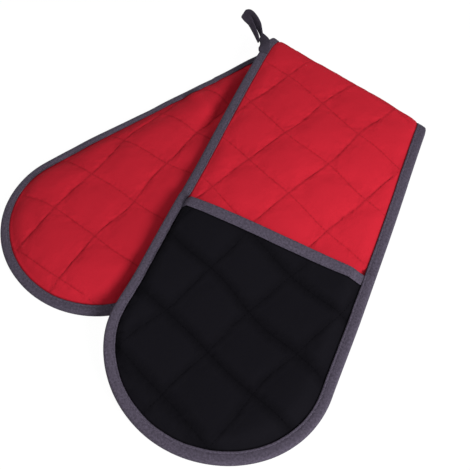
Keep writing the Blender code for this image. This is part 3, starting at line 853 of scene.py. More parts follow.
def pocket_pattern(leg):
    """The pocket panel's flat cloth, cut along its middle line."""
    tuck = POCKET_TUCK
    start = leg.mouth + MOUTH_START
    sewn = leg.mouth + leg.sizes.mouth_width
    rim = rim_line(leg, tuck, 0, pocket_only=True)
    rim[:, 0] = np.maximum(rim[:, 0], start)
    half = leg.half_width - tuck
    v = np.linspace(half, -half, 2 * round(half / (2 * RIM_SPACING)) + 1)
    outline = np.concatenate([rim, np.stack([np.full(len(v), start), v], axis=1)[1:-1]])
    gaps = np.linalg.norm(np.diff(outline, axis=0), axis=1)
    outline = outline[np.append(True, gaps > SAME_POINT)]
    u = np.arange(start, leg.length - tuck, RIM_SPACING)
    middle = np.stack([u, np.zeros(len(u))], axis=1)
    middle = np.append(middle, [[leg.length - tuck, 0]], axis=0)
    ring = rim_line(leg, leg.sizes.binding_width, 0, pocket_only=True)
    ring = ring[ring[:, 0] > start + KEEP_CLEAR]
    inner = v[np.abs(v) < leg.half_width - leg.sizes.binding_width - KEEP_CLEAR]
    seam = np.stack([np.full(len(inner), sewn), inner], axis=1)
    grid = quilt_grid(leg, leg.pocket_quilt, start)
    depth = leg.depth_inside(grid[:, 0], grid[:, 1])
    grid = grid[(depth > leg.sizes.binding_width + KEEP_CLEAR) & (grid[:, 0] > start + KEEP_CLEAR)
                & (np.abs(grid[:, 0] - sewn) > KEEP_CLEAR)]
    loose = np.concatenate([ring, seam, grid])
    loose = loose[np.abs(loose[:, 1]) > KEEP_CLEAR]
    return triangulated(outline, [middle], loose)


def inflated(name, flat, faces, held):
    """Lets the wadding's pressure lift a flat cloth between its seams. Returns each point's move."""
    mesh = bpy.data.meshes.new(name)
    mesh.from_pydata([(u * SIM_SCALE, v * SIM_SCALE, 0) for u, v in flat], [], faces.tolist())
    panel = added(name, mesh)
    sewn = panel.vertex_groups.new(name="sewn")
    sewn.add([int(i) for i in np.flatnonzero(held)], 1.0, "REPLACE")
    cloth = panel.modifiers.new("cushion", "CLOTH")
    for key, value in SIM_CLOTH.items():
        setattr(cloth.settings, key, value)
    cloth.settings.effector_weights.gravity = 0
    cloth.collision_settings.use_collision = False
    cloth.point_cache.frame_start = 1
    cloth.point_cache.frame_end = SIM_FRAMES
    scene = bpy.context.scene
    for step in range(1, SIM_FRAMES + 1):
        scene.frame_set(step)
    lifted = panel.evaluated_get(bpy.context.evaluated_depsgraph_get())
    moved = np.zeros(len(flat) * 3)
    lifted.data.vertices.foreach_get("co", moved)
    moved = moved.reshape(-1, 3) / SIM_SCALE
    bpy.data.objects.remove(panel)
    bpy.data.meshes.remove(mesh)
    scene.frame_set(1)
    moved[:, :2] -= flat
    return moved


def padding(quilt, flat, faces, lift, label):
    """Where the cloth lies over its wadding: sideways moves, and its share of the full height."""
    u, v = flat.T
    seam = np.minimum(*quilt.off_seams(u, v))
    wrinkle = 2 * WRINKLE_SHARE * waves(u, v, quilt.seed + WRINKLE_SEED, WRINKLE_LENGTH)
    shape = lift * quilt.pillow(u, v) * (1 + wrinkle * eased(seam / WRINKLE_LENGTH))
    held = (seam < HELD_SEAM) | (lift < HELD_LIFT)
    moved = inflated(label, flat, faces, held)
    height = np.abs(moved[:, 2])
    full = max(np.percentile(height, FULL_PERCENTILE), SAME_POINT)
    swollen = np.minimum(height / full, MOST_SWOLLEN)
    sideways = np.clip(moved[:, :2], -MOST_SIDEWAYS, MOST_SIDEWAYS) * SIM_SHARE
    return sideways, mixed(shape, swollen * np.minimum(lift * SWOLLEN_LIFT, 1), SIM_SHARE)


# Baking pieces in place; nothing here bends them with the joints


def bend_at_fold(piece, part):
    """Bakes the piece's place into its mesh. part is rear, fold or front, and all three are baked
    alike.
    """
    if part == "rear":
        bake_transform(piece)
    elif part == "front":
        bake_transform(piece)
    else:
        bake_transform(piece)


def bend_at_pocket(piece, leg, side):
    """Bakes a pocket piece's place into its mesh; the line from the leg's sewn side to the pocket's
    middle is worked out but not used.
    """
    u = (leg.mouth + leg.tip_centre) / 2
    start = Vector(leg.place(u, side * (leg.half_width - leg.sizes.binding_width), 0))
    end = Vector(leg.place(u, 0, 0))
    start.z = end.z = 0
    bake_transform(piece)


# Finishes

class Nodes:
    """Shorthand for building a node tree."""

    def __init__(self, tree):
        self.tree = tree

    def node(self, kind, settings=(), **inputs):
        """A new node with its settings and inputs, where _ stands for a space in an input's name."""
        made = self.tree.nodes.new(kind)
        for key, value in dict(settings).items():
            setattr(made, key, value)
        for key, value in inputs.items():
            self.feed(made.inputs[key.replace("_", " ")], value)
        return made

    def feed(self, socket, value):
        """Gives a socket its value, or links it to the socket that gives it."""
        if isinstance(value, bpy.types.NodeSocket):
            self.tree.links.new(value, socket)
        else:
            socket.default_value = value

    def maths(self, operation, *values):
        """The result of a sum, product or other operation on the values."""
        made = self.node("ShaderNodeMath", {"operation": operation})
        for socket, value in zip(made.inputs, values):
            self.feed(socket, value)
        return made.outputs[0]

    def plus(self, a, b):
        return self.maths("ADD", a, b)

    def times(self, a, b):
        return self.maths("MULTIPLY", a, b)


class Shader(Nodes):
    """A new material, and shorthand for the nodes of its finish."""

    def __init__(self, name):
        self.material = bpy.data.materials.new(name)
        self.material.use_nodes = True
        super().__init__(self.material.node_tree)
        self.surface = self.tree.nodes["Principled BSDF"]

    def dress(self, **inputs):
        """Sets the surface's inputs and returns the material."""
        for key, value in inputs.items():
            self.feed(self.surface.inputs[key.replace("_", " ")], value)
        return self.material

    def ramp(self, value, low, high, to_low, to_high):
        """A value that goes from one level to the other as the given one goes from low to high."""
        made = self.node("ShaderNodeMapRange", Value=value, From_Min=low, From_Max=high,
                         To_Min=to_low, To_Max=to_high)
        return made.outputs[0]

    def noise(self, scale, detail, vector):
        made = self.node("ShaderNodeTexNoise", Scale=scale, Detail=detail, Vector=vector)
        return made.outputs["Fac"]

    def attribute(self, name):
        return self.node("ShaderNodeAttribute", {"attribute_name": name}).outputs["Fac"]

    def object_place(self):
        return self.node("ShaderNodeTexCoord").outputs["Object"]

    def blend(self, factor, a, b, how="MIX"):
        """Two colours mixed, or multiplied where how says so."""
        made = self.node("ShaderNodeMix", {"data_type": "RGBA", "blend_type": how},
                         Factor=factor, A=a, B=b)
        return made.outputs["Result"]

    def bump(self, height, strength, distance):
        return self.node("ShaderNodeBump", Strength=strength, Distance=distance, Height=height)


def shaded(colour, share):
    """A darker or lighter colour, as a shader's socket wants it."""
    return (*[min(1.0, share * c) for c in colour], 1)


def woven(name, colour, yarn, roughness, bias=False, mottle=0.06, cloud_length=0.07, seam_shade=None,
          weave_depth=1.0, gloss=0.06):
    """Cotton cloth: a plain weave of yarns in the cloth's own directions, or turned for bias tape.
    seam_shade is how dark the painted shade in the quilting seams is, and how far from a seam that
    reaches."""
    shader = Shader(name)
    place = shader.node("ShaderNodeUVMap", {"uv_map": "cloth"}).outputs["UV"]
    parts = shader.node("ShaderNodeSeparateXYZ", Vector=place)
    u, v = parts.outputs["X"], parts.outputs["Y"]
    if bias:
        u, v = shader.plus(u, v), shader.maths("SUBTRACT", u, v)
    waver = shader.times(shader.maths("SUBTRACT", shader.noise(WAVER_SCALE, 2, place), 0.5), yarn)
    turns = math.pi / yarn
    warp, weft = (shader.maths("SINE", shader.times(shader.plus(along, waver), turns))
                  for along in (u, v))
    crossing = shader.times(warp, weft)
    slubs = shader.noise(1 / (4 * yarn), 3, place)
    fibres = shader.noise(0.5 / yarn, 2, place)
    clouds = shader.noise(1 / cloud_length, 3, place)
    height = shader.plus(shader.times(crossing, YARN_RELIEF), shader.times(fibres, FIBRE_RELIEF))
    shade = shader.plus(shader.times(crossing, YARN_SHADE * weave_depth), 1 - mottle)
    for patches in (slubs, clouds):
        shade = shader.plus(shade, shader.times(patches, mottle))
    relief = shader.bump(height, YARN_BUMP, YARN_BUMP_SHARE * yarn)
    # Painted shade: the cloth is darkened by the seams and where it dips under a tape, where shade
    # would fall
    if seam_shade:
        seam, rim = shader.attribute("seam"), shader.attribute("rim")
        for distance, (darkest, reach) in ((seam, seam_shade), (rim, RIM_SHADE)):
            shade = shader.times(shade, shader.ramp(distance, 0.0, reach, darkest, 1.0))
        puckers = shader.times(shader.noise(1 / PUCKER_LENGTH, 2, place),
                               shader.ramp(seam, 0.0, PUCKER_REACH, 1.0, PUCKER_REST))
        gathered = shader.bump(puckers, PUCKER_BUMP, PUCKER_DEPTH)
        shader.feed(relief.inputs["Normal"], gathered.outputs["Normal"])
    grey = shader.node("ShaderNodeCombineColor", Red=shade, Green=shade, Blue=shade)
    tint = shader.blend(1.0, shaded(colour, 1), grey.outputs["Color"], "MULTIPLY")
    rough = shader.ramp(slubs, 0.3, 0.7, roughness - ROUGHNESS_SPREAD, roughness + ROUGHNESS_SPREAD)
    return shader.dress(Base_Color=tint, Roughness=rough, Specular_IOR_Level=gloss,
                        Normal=relief.outputs["Normal"])


def wadding_finish(name, colour):
    """Needled fibre: matt, with a loose, cloudy surface."""
    shader = Shader(name)
    place = shader.object_place()
    clouds = shader.noise(WADDING_CLOUDS, 5, place)
    fibres = shader.noise(WADDING_FIBRES, 3, place)
    tint = shader.blend(clouds, *[shaded(colour, share) for share in WADDING_SHADES])
    relief = shader.bump(fibres, 0.6, 0.0004)
    return shader.dress(Base_Color=tint, Roughness=0.95, Normal=relief.outputs["Normal"])


def thread_finish(name, colour, gloss):
    """Twisted cotton thread."""
    shader = Shader(name)
    twist = shader.noise(THREAD_TWIST, 2, shader.object_place())
    tint = shader.blend(twist, *[shaded(colour, share) for share in THREAD_SHADES])
    relief = shader.bump(twist, 0.4, 0.0001)
    return shader.dress(Base_Color=tint, Roughness=0.7, Specular_IOR_Level=gloss,
                        Normal=relief.outputs["Normal"])


def finish(name):
    """The named finish, made the first time that a piece asks for it."""
    if name in bpy.data.materials:
        return bpy.data.materials[name]
    colours = bpy.context.scene.glove.colours
    reds = {"woven_red": colours.red, "woven_inner_red": colours.inner_red}
    threads = {"red_thread": (colours.red, 0.62, 0.1),
               "inner_red_thread": (colours.inner_red, 0.62, 0.1),
               "black_thread": (colours.black, 0.75, 0.0),
               "binding_thread": (colours.binding, 1.7, 0.2)}
    if name in reds:
        return woven(name, reds[name], COTTON_YARN, 0.80, seam_shade=RED_SEAM_SHADE)
    if name == "woven_black":
        return woven(name, colours.black, COTTON_YARN, 0.78, mottle=0.10, gloss=0.02,
                     seam_shade=BLACK_SEAM_SHADE)
    if name == "binding_tape":
        return woven(name, colours.binding, TAPE_YARN, 0.82, bias=True, mottle=1.25,
                     cloud_length=TAPE_CLOUDS, weave_depth=3)
    if name == "loop_tape":
        return woven(name, [LOOP_SHADE * c for c in colours.binding], TAPE_YARN, 0.85, mottle=0.9,
                     cloud_length=TAPE_CLOUDS, weave_depth=3)
    if name == "wadding":
        return wadding_finish(name, colours.wadding)
    colour, share, gloss = threads[name]
    return thread_finish(name, [share * c for c in colour], gloss)


# The quilted strip

def strip_levels(leg, flat, faces, face):
    """Where one face's cloth lies, from the strip's middle, and its sideways moves."""
    u, v = flat.T
    off_tape = leg.depth_inside(u, v) - leg.face_width(face)
    lift = eased(off_tape / CROWN_EDGE_RISE)
    sideways, share = padding(leg.quilt, flat, faces, lift, f"{leg.name}_{face}_panel")
    meet = leg.at_fold(u, v)
    press = 0.0
    if leg.up > 0:
        press = FOLD_PRESS * (1 - eased((leg.developed(u, v) - FOLD_CENTRE) / FOLD_PRESS_REACH))
    even = PRESSED_SHARE * eased(off_tape / FOLD_EDGE_RISE)
    share = mixed(share, even, np.maximum(press, meet))
    return sideways * (1 - meet[:, None]), SEWN_HALF + (STRIP_PAD_HALF - SEWN_HALF) * share


def nodes_of(part, piece):
    """The CAD nodes of a leg's piece, or of the same piece on the fold's two flats."""
    parts = ("fold_lower", "fold_upper") if part == "fold" else (part,)
    return [f"{each}_{piece}" for each in parts]


def build_strip(leg):
    """The two covers and the wadding of a leg, and the front leg's share of the fold."""
    flat, faces = strip_pattern(leg)
    u, v = flat.T
    parts = {leg.name: faces}
    if leg.up > 0:
        centre = flat[faces].mean(axis=1)
        in_fold = leg.developed(centre[:, 0], centre[:, 1]) < -FOLD_PART
        parts = {leg.name: faces[~in_fold], "fold": faces[in_fold]}
    seam = leg.quilt.seam_mark(u, v) + JOIN_HIDES_SEAMS * leg.at_fold(u, v)
    depth = leg.depth_inside(u, v)
    levels = {}
    cloths = {"outer": ("woven_red", "red_cotton"), "inner": ("woven_inner_red", "red_lining")}
    for face, side in FACES:
        cloth, slot = cloths[face]
        sideways, half = strip_levels(leg, flat, faces, face)
        moved_u, moved_v = u + sideways[:, 0], v + sideways[:, 1]
        high = leg.place(moved_u, moved_v, side * (half + PIECE_GAP + CLOTH))
        low = leg.place(moved_u, moved_v, side * (half + PIECE_GAP))
        levels[face] = leg.place(u, v, side * half)
        # seam and rim are the distances from which the finish paints shade into the seams and under the
        # tape
        floats = {"seam": seam, "rim": depth - leg.face_width(face)}
        for part, chosen in parts.items():
            piece = closed_sheet(f"{part}_{face}_cloth", chosen, high, low, finish(cloth), flat, floats)
            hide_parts(*nodes_of(part, f"{face}_cover"))
            bend_at_fold(piece, part)
            declare_sheet(leg, flat, chosen, part == "fold")
    for part, chosen in parts.items():
        piece = closed_sheet(f"{part}_padding", chosen, levels["outer"], levels["inner"],
                             finish("wadding"), flat, {})
        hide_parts(*nodes_of(part, "wadding"))
        bend_at_fold(piece, part)


def declare_sheet(leg, flat, faces, folded=False):
    """Works out the cloth's flat u and v, round the fold where it is folded, and keeps nothing."""
    u, v = flat[np.unique(faces)].T
    if folded:
        u, v = leg.developed(u, v), leg.up * u * math.sin(SPLAY) + v * math.cos(SPLAY)


# Pockets

def build_pocket(leg):
    """Cover, wadding and lining of one pocket, each in a left and a right half that meet in line."""
    flat, faces = pocket_pattern(leg)
    u, v = flat.T
    off_tape = leg.depth_inside(u, v) - leg.face_width("outer")
    lift = eased(off_tape / CROWN_EDGE_RISE) * leg.below_mouth(u, CROWN_EDGE_RISE)
    sideways, share = padding(leg.pocket_quilt, flat, faces, lift, f"{leg.name}_pocket_panel")
    half = SEWN_HALF + (POCKET_PAD_HALF - SEWN_HALF) * share
    if leg.up < 0:
        half = np.minimum(half, POCKET_PAD_HALF - CLOTH)
    step = leg.pocket_step(u, v)
    moved_u = u + sideways[:, 0]
    moved_v = np.where(np.abs(v) < KEEP_CLEAR / 2, v, v + sideways[:, 1])
    # seam and rim are the distances from which the finish paints shade into the seams and under the
    # tapes
    rim = np.minimum(off_tape, u - leg.mouth - leg.sizes.mouth_width)
    floats = {"seam": leg.pocket_quilt.seam_mark(u, v), "rim": rim}
    under, over = half + PIECE_GAP, half + PIECE_GAP + CLOTH
    layers = (("cloth", over, under, "woven_black", "black_cotton",
               [f"{leg.name}_pocket_cover", f"{leg.name}_pocket_sewn_edge"]),
              ("padding", half, -half, "wadding", "white_wadding", [f"{leg.name}_pocket_wadding"]),
              ("lining_cloth", -under, -over, "woven_inner_red", "red_lining",
               [f"{leg.name}_pocket_lining"]))
    centre = flat[faces].mean(axis=1)
    for word, side in HALVES:
        chosen = faces[centre[:, 1] * side > 0]
        for layer, top, bottom, cloth, slot, nodes in layers:
            high, low = (leg.place(moved_u, moved_v, step + n) for n in (top, bottom))
            piece = closed_sheet(f"{leg.name}_pocket_{layer}_{word}", chosen, high, low,
                                 finish(cloth), flat, floats)
            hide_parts(*nodes)
            bend_at_pocket(piece, leg, side)
            if layer == "padding":
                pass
            else:
                declare_sheet(leg, flat, chosen)


# Binding tape

def tape_flap(width, cloth):
    """One face of a folded tape from its inner edge: (inset, share of the cloth, height over that)."""
    stitch = width - STITCH_INSET
    run = TAPE_GROOVE_RUN
    edge = [(width - inset * cloth, share, 0) for inset, share in TAPE_EDGE]
    return edge + [
        (stitch + run, 1, 0), (stitch, 1, -TAPE_GROOVE), (stitch - run, 1, 0),
        (mixed(TAPE_NOSE, stitch, TAPE_PUFF_SHARE), 1, TAPE_PUFF), (TAPE_NOSE * 1.5, 1, TAPE_PUFF / 2),
    ]


def tape_profile(width_above, width_below, above, below, cloth):
    """A folded tape's section: (inset, n) along its outer side, and the same along its inner side."""
    top, foot = above + cloth, -below - cloth
    middle, half = (top + foot) / 2, (top - foot) / 2
    upper, lower = tape_flap(width_above, cloth), tape_flap(width_below, cloth)[::-1]
    nose = [(math.cos(a), math.sin(a)) for a in np.linspace(math.pi / 2, -math.pi / 2, NOSE_STEPS + 1)]
    outer = [(inset, above + cloth * share + extra) for inset, share, extra in upper]
    outer += [(TAPE_NOSE * (1 - c), middle + half * s) for c, s in nose]
    outer += [(inset, -below - cloth * share - extra) for inset, share, extra in lower]
    inner = [(inset, above) for inset, share, extra in upper]
    inner += [(TAPE_NOSE - (TAPE_NOSE - cloth) * c, middle + (half - cloth) * s) for c, s in nose]
    inner += [(inset, -below) for inset, share, extra in lower]
    return outer + inner[::-1]


def on_flat_tape(profile, gone):
    """Where a profile's points are on the unfolded tape, at a distance along it."""
    points = np.array(profile)
    half = len(points) // 2
    steps = np.append(0, np.cumsum(np.linalg.norm(np.diff(points[:half], axis=0), axis=1)))
    return np.stack([np.full(len(points), gone), np.concatenate([steps, steps[::-1]])], axis=1)


def crinkle(distance, seed):
    """Small unevenness of a sewn tape at a distance along it."""
    return float(sum(share * waves(distance, 0.0, seed + i, length)
                     for i, (share, length) in enumerate(TAPE_WAVES)))


def edge_stations(leg):
    """Stations round a leg's edge: up its left side, round the tip and back on the right."""
    count = round((leg.tip_centre + FOLD_PART) / RIM_SPACING)
    shares = np.linspace(0, 1, count, endpoint=False)
    turns = round(math.pi * leg.half_width / RIM_SPACING)
    stations = [("left", share) for share in shares]
    stations += [("tip", angle) for angle in np.linspace(0, math.pi, turns)]
    stations += [("right", share) for share in shares[::-1]]
    return stations


def station_point(leg, station, inset):
    """The point of a station at an inset from the edge."""
    kind, at = station
    half = leg.half_width - inset
    if kind == "tip":
        return (leg.tip_centre + (leg.sizes.tip_length - inset) * math.sin(at),
                -half * math.cos(at))
    v = -half if kind == "left" else half
    return mixed(leg.u_at(-FOLD_PART, v), leg.tip_centre, at), v


def bound(name, rings, flat, *nodes):
    """A finished stretch of binding, from its rings and their places on the flat tape."""
    piece = swept_tape(name, np.array(rings), finish("binding_tape"), np.array(flat))
    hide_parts(*nodes)
    return piece


def edge_profile(leg, u, gone):
    """The edge binding's section, which takes in the pocket from its mouth on."""
    above = mixed(TAPE_ROOM, SEWN_STEP + TAPE_ROOM, leg.over_pocket(u))
    stray = EDGE_STRAY * crinkle(gone, EDGE_STRAY_SEED + leg.up)
    puff = EDGE_PUFF * crinkle(gone, EDGE_PUFF_SEED + leg.up)
    profile = tape_profile(leg.face_width("outer") + stray, leg.face_width("inner") - stray,
                           above, TAPE_ROOM, leg.sizes.tape_cloth)
    puffed = len(profile) // 4
    return [(inset, n + puff) for inset, n in profile[:puffed]] + profile[puffed:]


def build_edge_binding(leg):
    """The tape round a leg's edge."""
    rings, flat = [], []
    gone = 0.0
    last = None
    for station in edge_stations(leg):
        here = np.array(station_point(leg, station, 0.0))
        gone += 0.0 if last is None else float(np.linalg.norm(here - last))
        last = here
        profile = edge_profile(leg, here[0], gone)
        u, v = np.array([station_point(leg, station, inset) for inset, n in profile]).T
        rings.append(leg.place(u, v, np.array([n for inset, n in profile])))
        flat.append(on_flat_tape(profile, gone))
    piece = bound(f"{leg.name}_edge_tape", rings, flat, f"{leg.name}_edge_binding")
    bend_at_fold(piece, leg.name)


def build_fold_bindings(leg):
    """The stretches of tape at both ends of the fold, from the front leg's side."""
    steps = np.linspace(leg.start, -FOLD_PART, FOLD_STEPS)
    profile = tape_profile(leg.face_width("outer"), leg.face_width("inner"), TAPE_ROOM, TAPE_ROOM,
                           leg.sizes.tape_cloth)
    inset, n = np.array(profile).T
    for word, side in HALVES:
        v = side * (leg.half_width - inset)
        rings = [leg.place(leg.u_at(along, v), v, n) for along in steps]
        flat = [on_flat_tape(profile, along) for along in steps]
        piece = bound(f"fold_{word}_tape", rings, flat, *nodes_of("fold", f"{word}_binding"))
        bend_at_fold(piece, "fold")


def mouth_share(leg, v):
    """0 where the mouth binding is pressed thin, under the edge binding, and 1 from a little off it."""
    return eased((leg.half_width - np.abs(v) - leg.face_width("outer") - PIECE_GAP) / MOUTH_THINNING)


def mouth_half(leg, v):
    """Half the mouth binding's inner room."""
    return mixed(MOUTH_PRESSED_SHARES[0] * SHEET_HALF, TAPE_ROOM, mouth_share(leg, v))


def build_mouth_binding(leg):
    """The tape folded round the pocket's mouth, in two halves."""
    reach = leg.half_width - POCKET_TUCK - CLOTH
    for word, side in HALVES:
        rings, flat = [], []
        for v in np.linspace(0, reach, round(reach / RIM_SPACING)) * side:
            room = float(mouth_half(leg, v))
            cloth = mixed(MOUTH_PRESSED_SHARES[1], 1, float(mouth_share(leg, v))) * leg.sizes.tape_cloth
            width = leg.sizes.mouth_width + MOUTH_STRAY * crinkle(abs(v), MOUTH_STRAY_SEED + side)
            profile = tape_profile(width, width, room, room, cloth)
            inset, n = np.array(profile).T
            across = np.full(len(inset), v)
            step = leg.pocket_step(leg.mouth + inset, across)
            rings.append(leg.place(leg.mouth + inset, across, step + n))
            flat.append(on_flat_tape(profile, v))
        piece = bound(f"{leg.name}_mouth_tape_{word}", rings, flat, f"{leg.name}_mouth_binding")
        bend_at_pocket(piece, leg, side)


# Stitching

def socket_of(group, name):
    """The identifier of a node group's input."""
    for item in group.interface.items_tree:
        if item.name == name and item.in_out == "INPUT":
            return item.identifier
    raise KeyError(name)


def stitch_tree():
    """Repeats one stitch along the lines of its mesh, each turned to face out of the cloth."""
    name = "stitch_rows"
    if name in bpy.data.node_groups:
        return bpy.data.node_groups[name]
    group = bpy.data.node_groups.new(name, "GeometryNodeTree")
    for label, kind in (("Geometry", "Geometry"), ("Stitch Step", "Float"), ("Stitch Length", "Float"),
                        ("Thread Width", "Float"), ("Seed", "Int"), ("Material", "Material")):
        group.interface.new_socket(label, in_out="INPUT", socket_type=f"NodeSocket{kind}")
    group.interface.new_socket("Geometry", in_out="OUTPUT", socket_type="NodeSocketGeometry")
    nodes = Nodes(group)
    given = nodes.node("NodeGroupInput").outputs
    curve = nodes.node("GeometryNodeMeshToCurve", Mesh=given["Geometry"])
    spaced = nodes.node("GeometryNodeResampleCurve", {"mode": "LENGTH"},
                        Curve=curve.outputs["Curve"], Length=given["Stitch Step"])
    bead = nodes.node("GeometryNodeMeshUVSphere", Segments=6, Rings=4, Radius=0.5)
    facing = nodes.node("GeometryNodeInputNamedAttribute", {"data_type": "FLOAT_VECTOR"}, Name="facing")
    ahead = nodes.node("GeometryNodeInputTangent").outputs["Tangent"]
    turned = nodes.node("FunctionNodeAxesToRotation", {"primary_axis": "Z", "secondary_axis": "X"},
                        Primary_Axis=facing.outputs["Attribute"], Secondary_Axis=ahead)
    uneven = nodes.node("FunctionNodeRandomValue", {"data_type": "FLOAT"}, Seed=given["Seed"])
    for socket, share in zip(uneven.inputs[2:4], STITCH_SHARES):
        socket.default_value = share
    size = nodes.node("ShaderNodeCombineXYZ", X=nodes.times(given["Stitch Length"], uneven.outputs[1]),
                      Y=given["Thread Width"], Z=given["Thread Width"])
    repeated = nodes.node("GeometryNodeInstanceOnPoints", Points=spaced.outputs["Curve"],
                          Instance=bead.outputs["Mesh"], Rotation=turned.outputs["Rotation"],
                          Scale=size.outputs["Vector"])
    real = nodes.node("GeometryNodeRealizeInstances", Geometry=repeated.outputs["Instances"])
    smooth = nodes.node("GeometryNodeSetShadeSmooth", Geometry=real.outputs["Geometry"])
    dyed = nodes.node("GeometryNodeSetMaterial", Geometry=smooth.outputs["Geometry"],
                      Material=given["Material"])
    nodes.node("NodeGroupOutput", Geometry=dyed.outputs["Geometry"])
    return group


def stitched(name, lines, thread, slot):
    """A mesh of stitches along lines of (places, facings)."""
    points, facings, edges = [], [], []
    for places, ways in lines:
        edges += [(len(points) + i, len(points) + i + 1) for i in range(len(places) - 1)]
        points += [tuple(p) for p in places]
        facings += [tuple(w) for w in ways]
    mesh = bpy.data.meshes.new(name)
    mesh.from_pydata(points, edges, [])
    mesh.attributes.new("facing", "FLOAT_VECTOR", "POINT").data.foreach_set(
        "vector", np.array(facings, np.float32).ravel())
    piece = added(name, mesh)
    stitches = bpy.context.scene.glove.stitches
    rows = piece.modifiers.new("rows", "NODES")
    rows.node_group = stitch_tree()
    for label, value in (("Stitch Step", stitches.stitch_step), ("Seed", stitches.seed),
                         ("Stitch Length", stitches.stitch_length),
                         ("Thread Width", stitches.thread_width), ("Material", finish(thread))):
        rows[socket_of(rows.node_group, label)] = value
    piece = baked(piece)
    return piece


def seam_lines(leg, quilt, shown, n_at, side=1):
    """The quilting seams as lines of stitches, where shown says that the cloth shows them."""
    count = quilt.squares_over(leg.length)
    along = np.arange(-count, count, SEAM_LINE_SPACING / quilt.pitch)
    lines = []
    for i in range(-count, count + 1):
        seam = np.full(len(along), float(i))
        for first, second in ((seam, along), (along, seam)):
            u, v = quilt.from_squares(first, second)
            inside = shown(u, v)
            cuts = np.flatnonzero(np.diff(inside.astype(int)))
            for run in np.split(np.arange(len(u)), cuts + 1):
                if len(run) > 1 and inside[run[0]]:
                    lines.append(leg.stitch_line(u[run], v[run], n_at(u[run], v[run]), side))
    return lines


def build_quilt_stitches(leg):
    """Quilting stitches on both faces of the strip."""
    level = SHEET_HALF + QUILT_STITCH_RISE * bpy.context.scene.glove.stitches.thread_width
    edge = leg.sizes.binding_width + CLOTH
    parts = [(leg.name, -FOLD_PART, 1.0)]
    if leg.up > 0:
        parts.append(("fold", leg.start, -FOLD_PART))
    cloths = {"outer": ("red_thread", "red_cotton"), "inner": ("inner_red_thread", "red_lining")}
    for face, side in FACES:
        for part, low, high in parts:

            def shown(u, v):
                along = leg.developed(u, v)
                inside = leg.depth_inside(u, v) > edge
                return (inside & (along > low) & (along < high)
                        & (leg.at_fold(u, v) < JOIN_HIDES_STITCHES))

            lines = seam_lines(leg, leg.quilt, shown, lambda u, v: np.full(len(u), side * level), side)
            piece = stitched(f"{part}_{face}_quilt_stitches", lines, *cloths[face])
            bend_at_fold(piece, part)


def build_pocket_stitches(leg):
    """Quilting stitches on the pocket's black face."""
    level = SHEET_HALF + QUILT_STITCH_RISE * bpy.context.scene.glove.stitches.thread_width
    edge = leg.sizes.binding_width + CLOTH
    sewn = leg.mouth + leg.sizes.mouth_width + CLOTH
    for word, side in HALVES:

        def shown(u, v):
            return (leg.depth_inside(u, v) > edge) & (u > sewn) & (v * side > 0)

        lines = seam_lines(leg, leg.pocket_quilt, shown, lambda u, v: leg.pocket_step(u, v) + level)
        piece = stitched(f"{leg.name}_pocket_quilt_stitches_{word}", lines, "black_thread",
                         "black_cotton")
        bend_at_pocket(piece, leg, side)


def build_binding_stitches(leg):
    """The row of stitches near the inner edge of each binding."""
    thread = bpy.context.scene.glove.stitches.thread_width
    on_tape = leg.sizes.tape_cloth - TAPE_GROOVE + TAPE_STITCH_RISE * thread
    sewn = ("binding_thread", "grey_binding")
    lines = []
    for face, side in FACES:
        inset = leg.face_width(face) - STITCH_INSET
        u, v = np.array([station_point(leg, station, inset) for station in edge_stations(leg)]).T
        over_pocket = SEWN_STEP * leg.over_pocket(u) if side > 0 else 0
        lines.append(leg.stitch_line(u, v, side * (TAPE_ROOM + on_tape) + over_pocket, side))
    piece = stitched(f"{leg.name}_edge_tape_stitches", lines, *sewn)
    bend_at_fold(piece, leg.name)
    if leg.up > 0:
        lines = []
        along = np.linspace(leg.start, -FOLD_PART, FOLD_LINE_POINTS)
        for word, end in HALVES:
            for face, side in FACES:
                inset = leg.face_width(face) - STITCH_INSET
                v = np.full(len(along), end * (leg.half_width - inset))
                n = side * (TAPE_ROOM + on_tape)
                lines.append(leg.stitch_line(leg.u_at(along, v), v, n, side))
        piece = stitched("fold_tape_stitches", lines, *sewn)
        bend_at_fold(piece, "fold")
    for word, side in HALVES:
        v = np.linspace(0, leg.half_width - leg.sizes.binding_width, MOUTH_LINE_POINTS) * side
        u = np.full(len(v), leg.mouth + leg.sizes.mouth_width - STITCH_INSET)
        n = leg.pocket_step(u, v) + mouth_half(leg, v) + on_tape
        piece = stitched(f"{leg.name}_mouth_tape_stitches_{word}", [leg.stitch_line(u, v, n)], *sewn)
        bend_at_pocket(piece, leg, side)


# Hanging loop

def smooth_through(points, steps):
    """A smooth line through the points, with so many steps from one to the next."""
    padded = np.concatenate([[2 * points[0] - points[1]], points, [2 * points[-1] - points[-2]]])
    line = []
    for i in range(1, len(padded) - 2):
        a, b, c, d = padded[i - 1:i + 3]
        for t in np.linspace(0, 1, steps, endpoint=False):
            line.append(0.5 * (2 * b + (c - a) * t + (2 * a - 5 * b + 4 * c - d) * t ** 2
                               + (3 * b - a - 3 * c + d) * t ** 3))
    return np.array(line + [points[-1]])


def ribbon(name, shape):
    """A tape with rounded edges along a twisted line."""
    pivot = np.array(JOINTS["loop_swing"]["pos_m"])
    centres, halves = (smooth_through(np.array(points) / 1000, LOOP_STEPS) for points in zip(*shape))
    centres = centres + pivot
    off = np.cross(np.gradient(centres, axis=0), halves)
    off *= LOOP_TAPE / 2 / np.linalg.norm(off, axis=1, keepdims=True)
    section = LOOP_SECTION + [(side, -out) for side, out in reversed(LOOP_SECTION)]
    rings = np.stack([centres + side * halves + out * off for side, out in section], axis=1)
    gone = np.append(0, np.cumsum(np.linalg.norm(np.diff(centres, axis=0), axis=1)))
    flat = np.array([[(distance, side * LOOP_CLOTH_HALF) for side, out in section]
                     for distance in gone])
    return swept_tape(name, rings, finish("loop_tape"), flat)


def build_loop():
    """The loop, which swings, and the tab that the fold carries."""
    for name, shape, node, body in (("loop_tape", LOOP_SHAPE, "hanging_loop", "hanging_loop"),
                                    ("loop_tab_tape", TAB_SHAPE, "loop_tab", "fold_upper")):
        piece = ribbon(name, shape)
        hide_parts(node)
        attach(piece, body)


# Studio

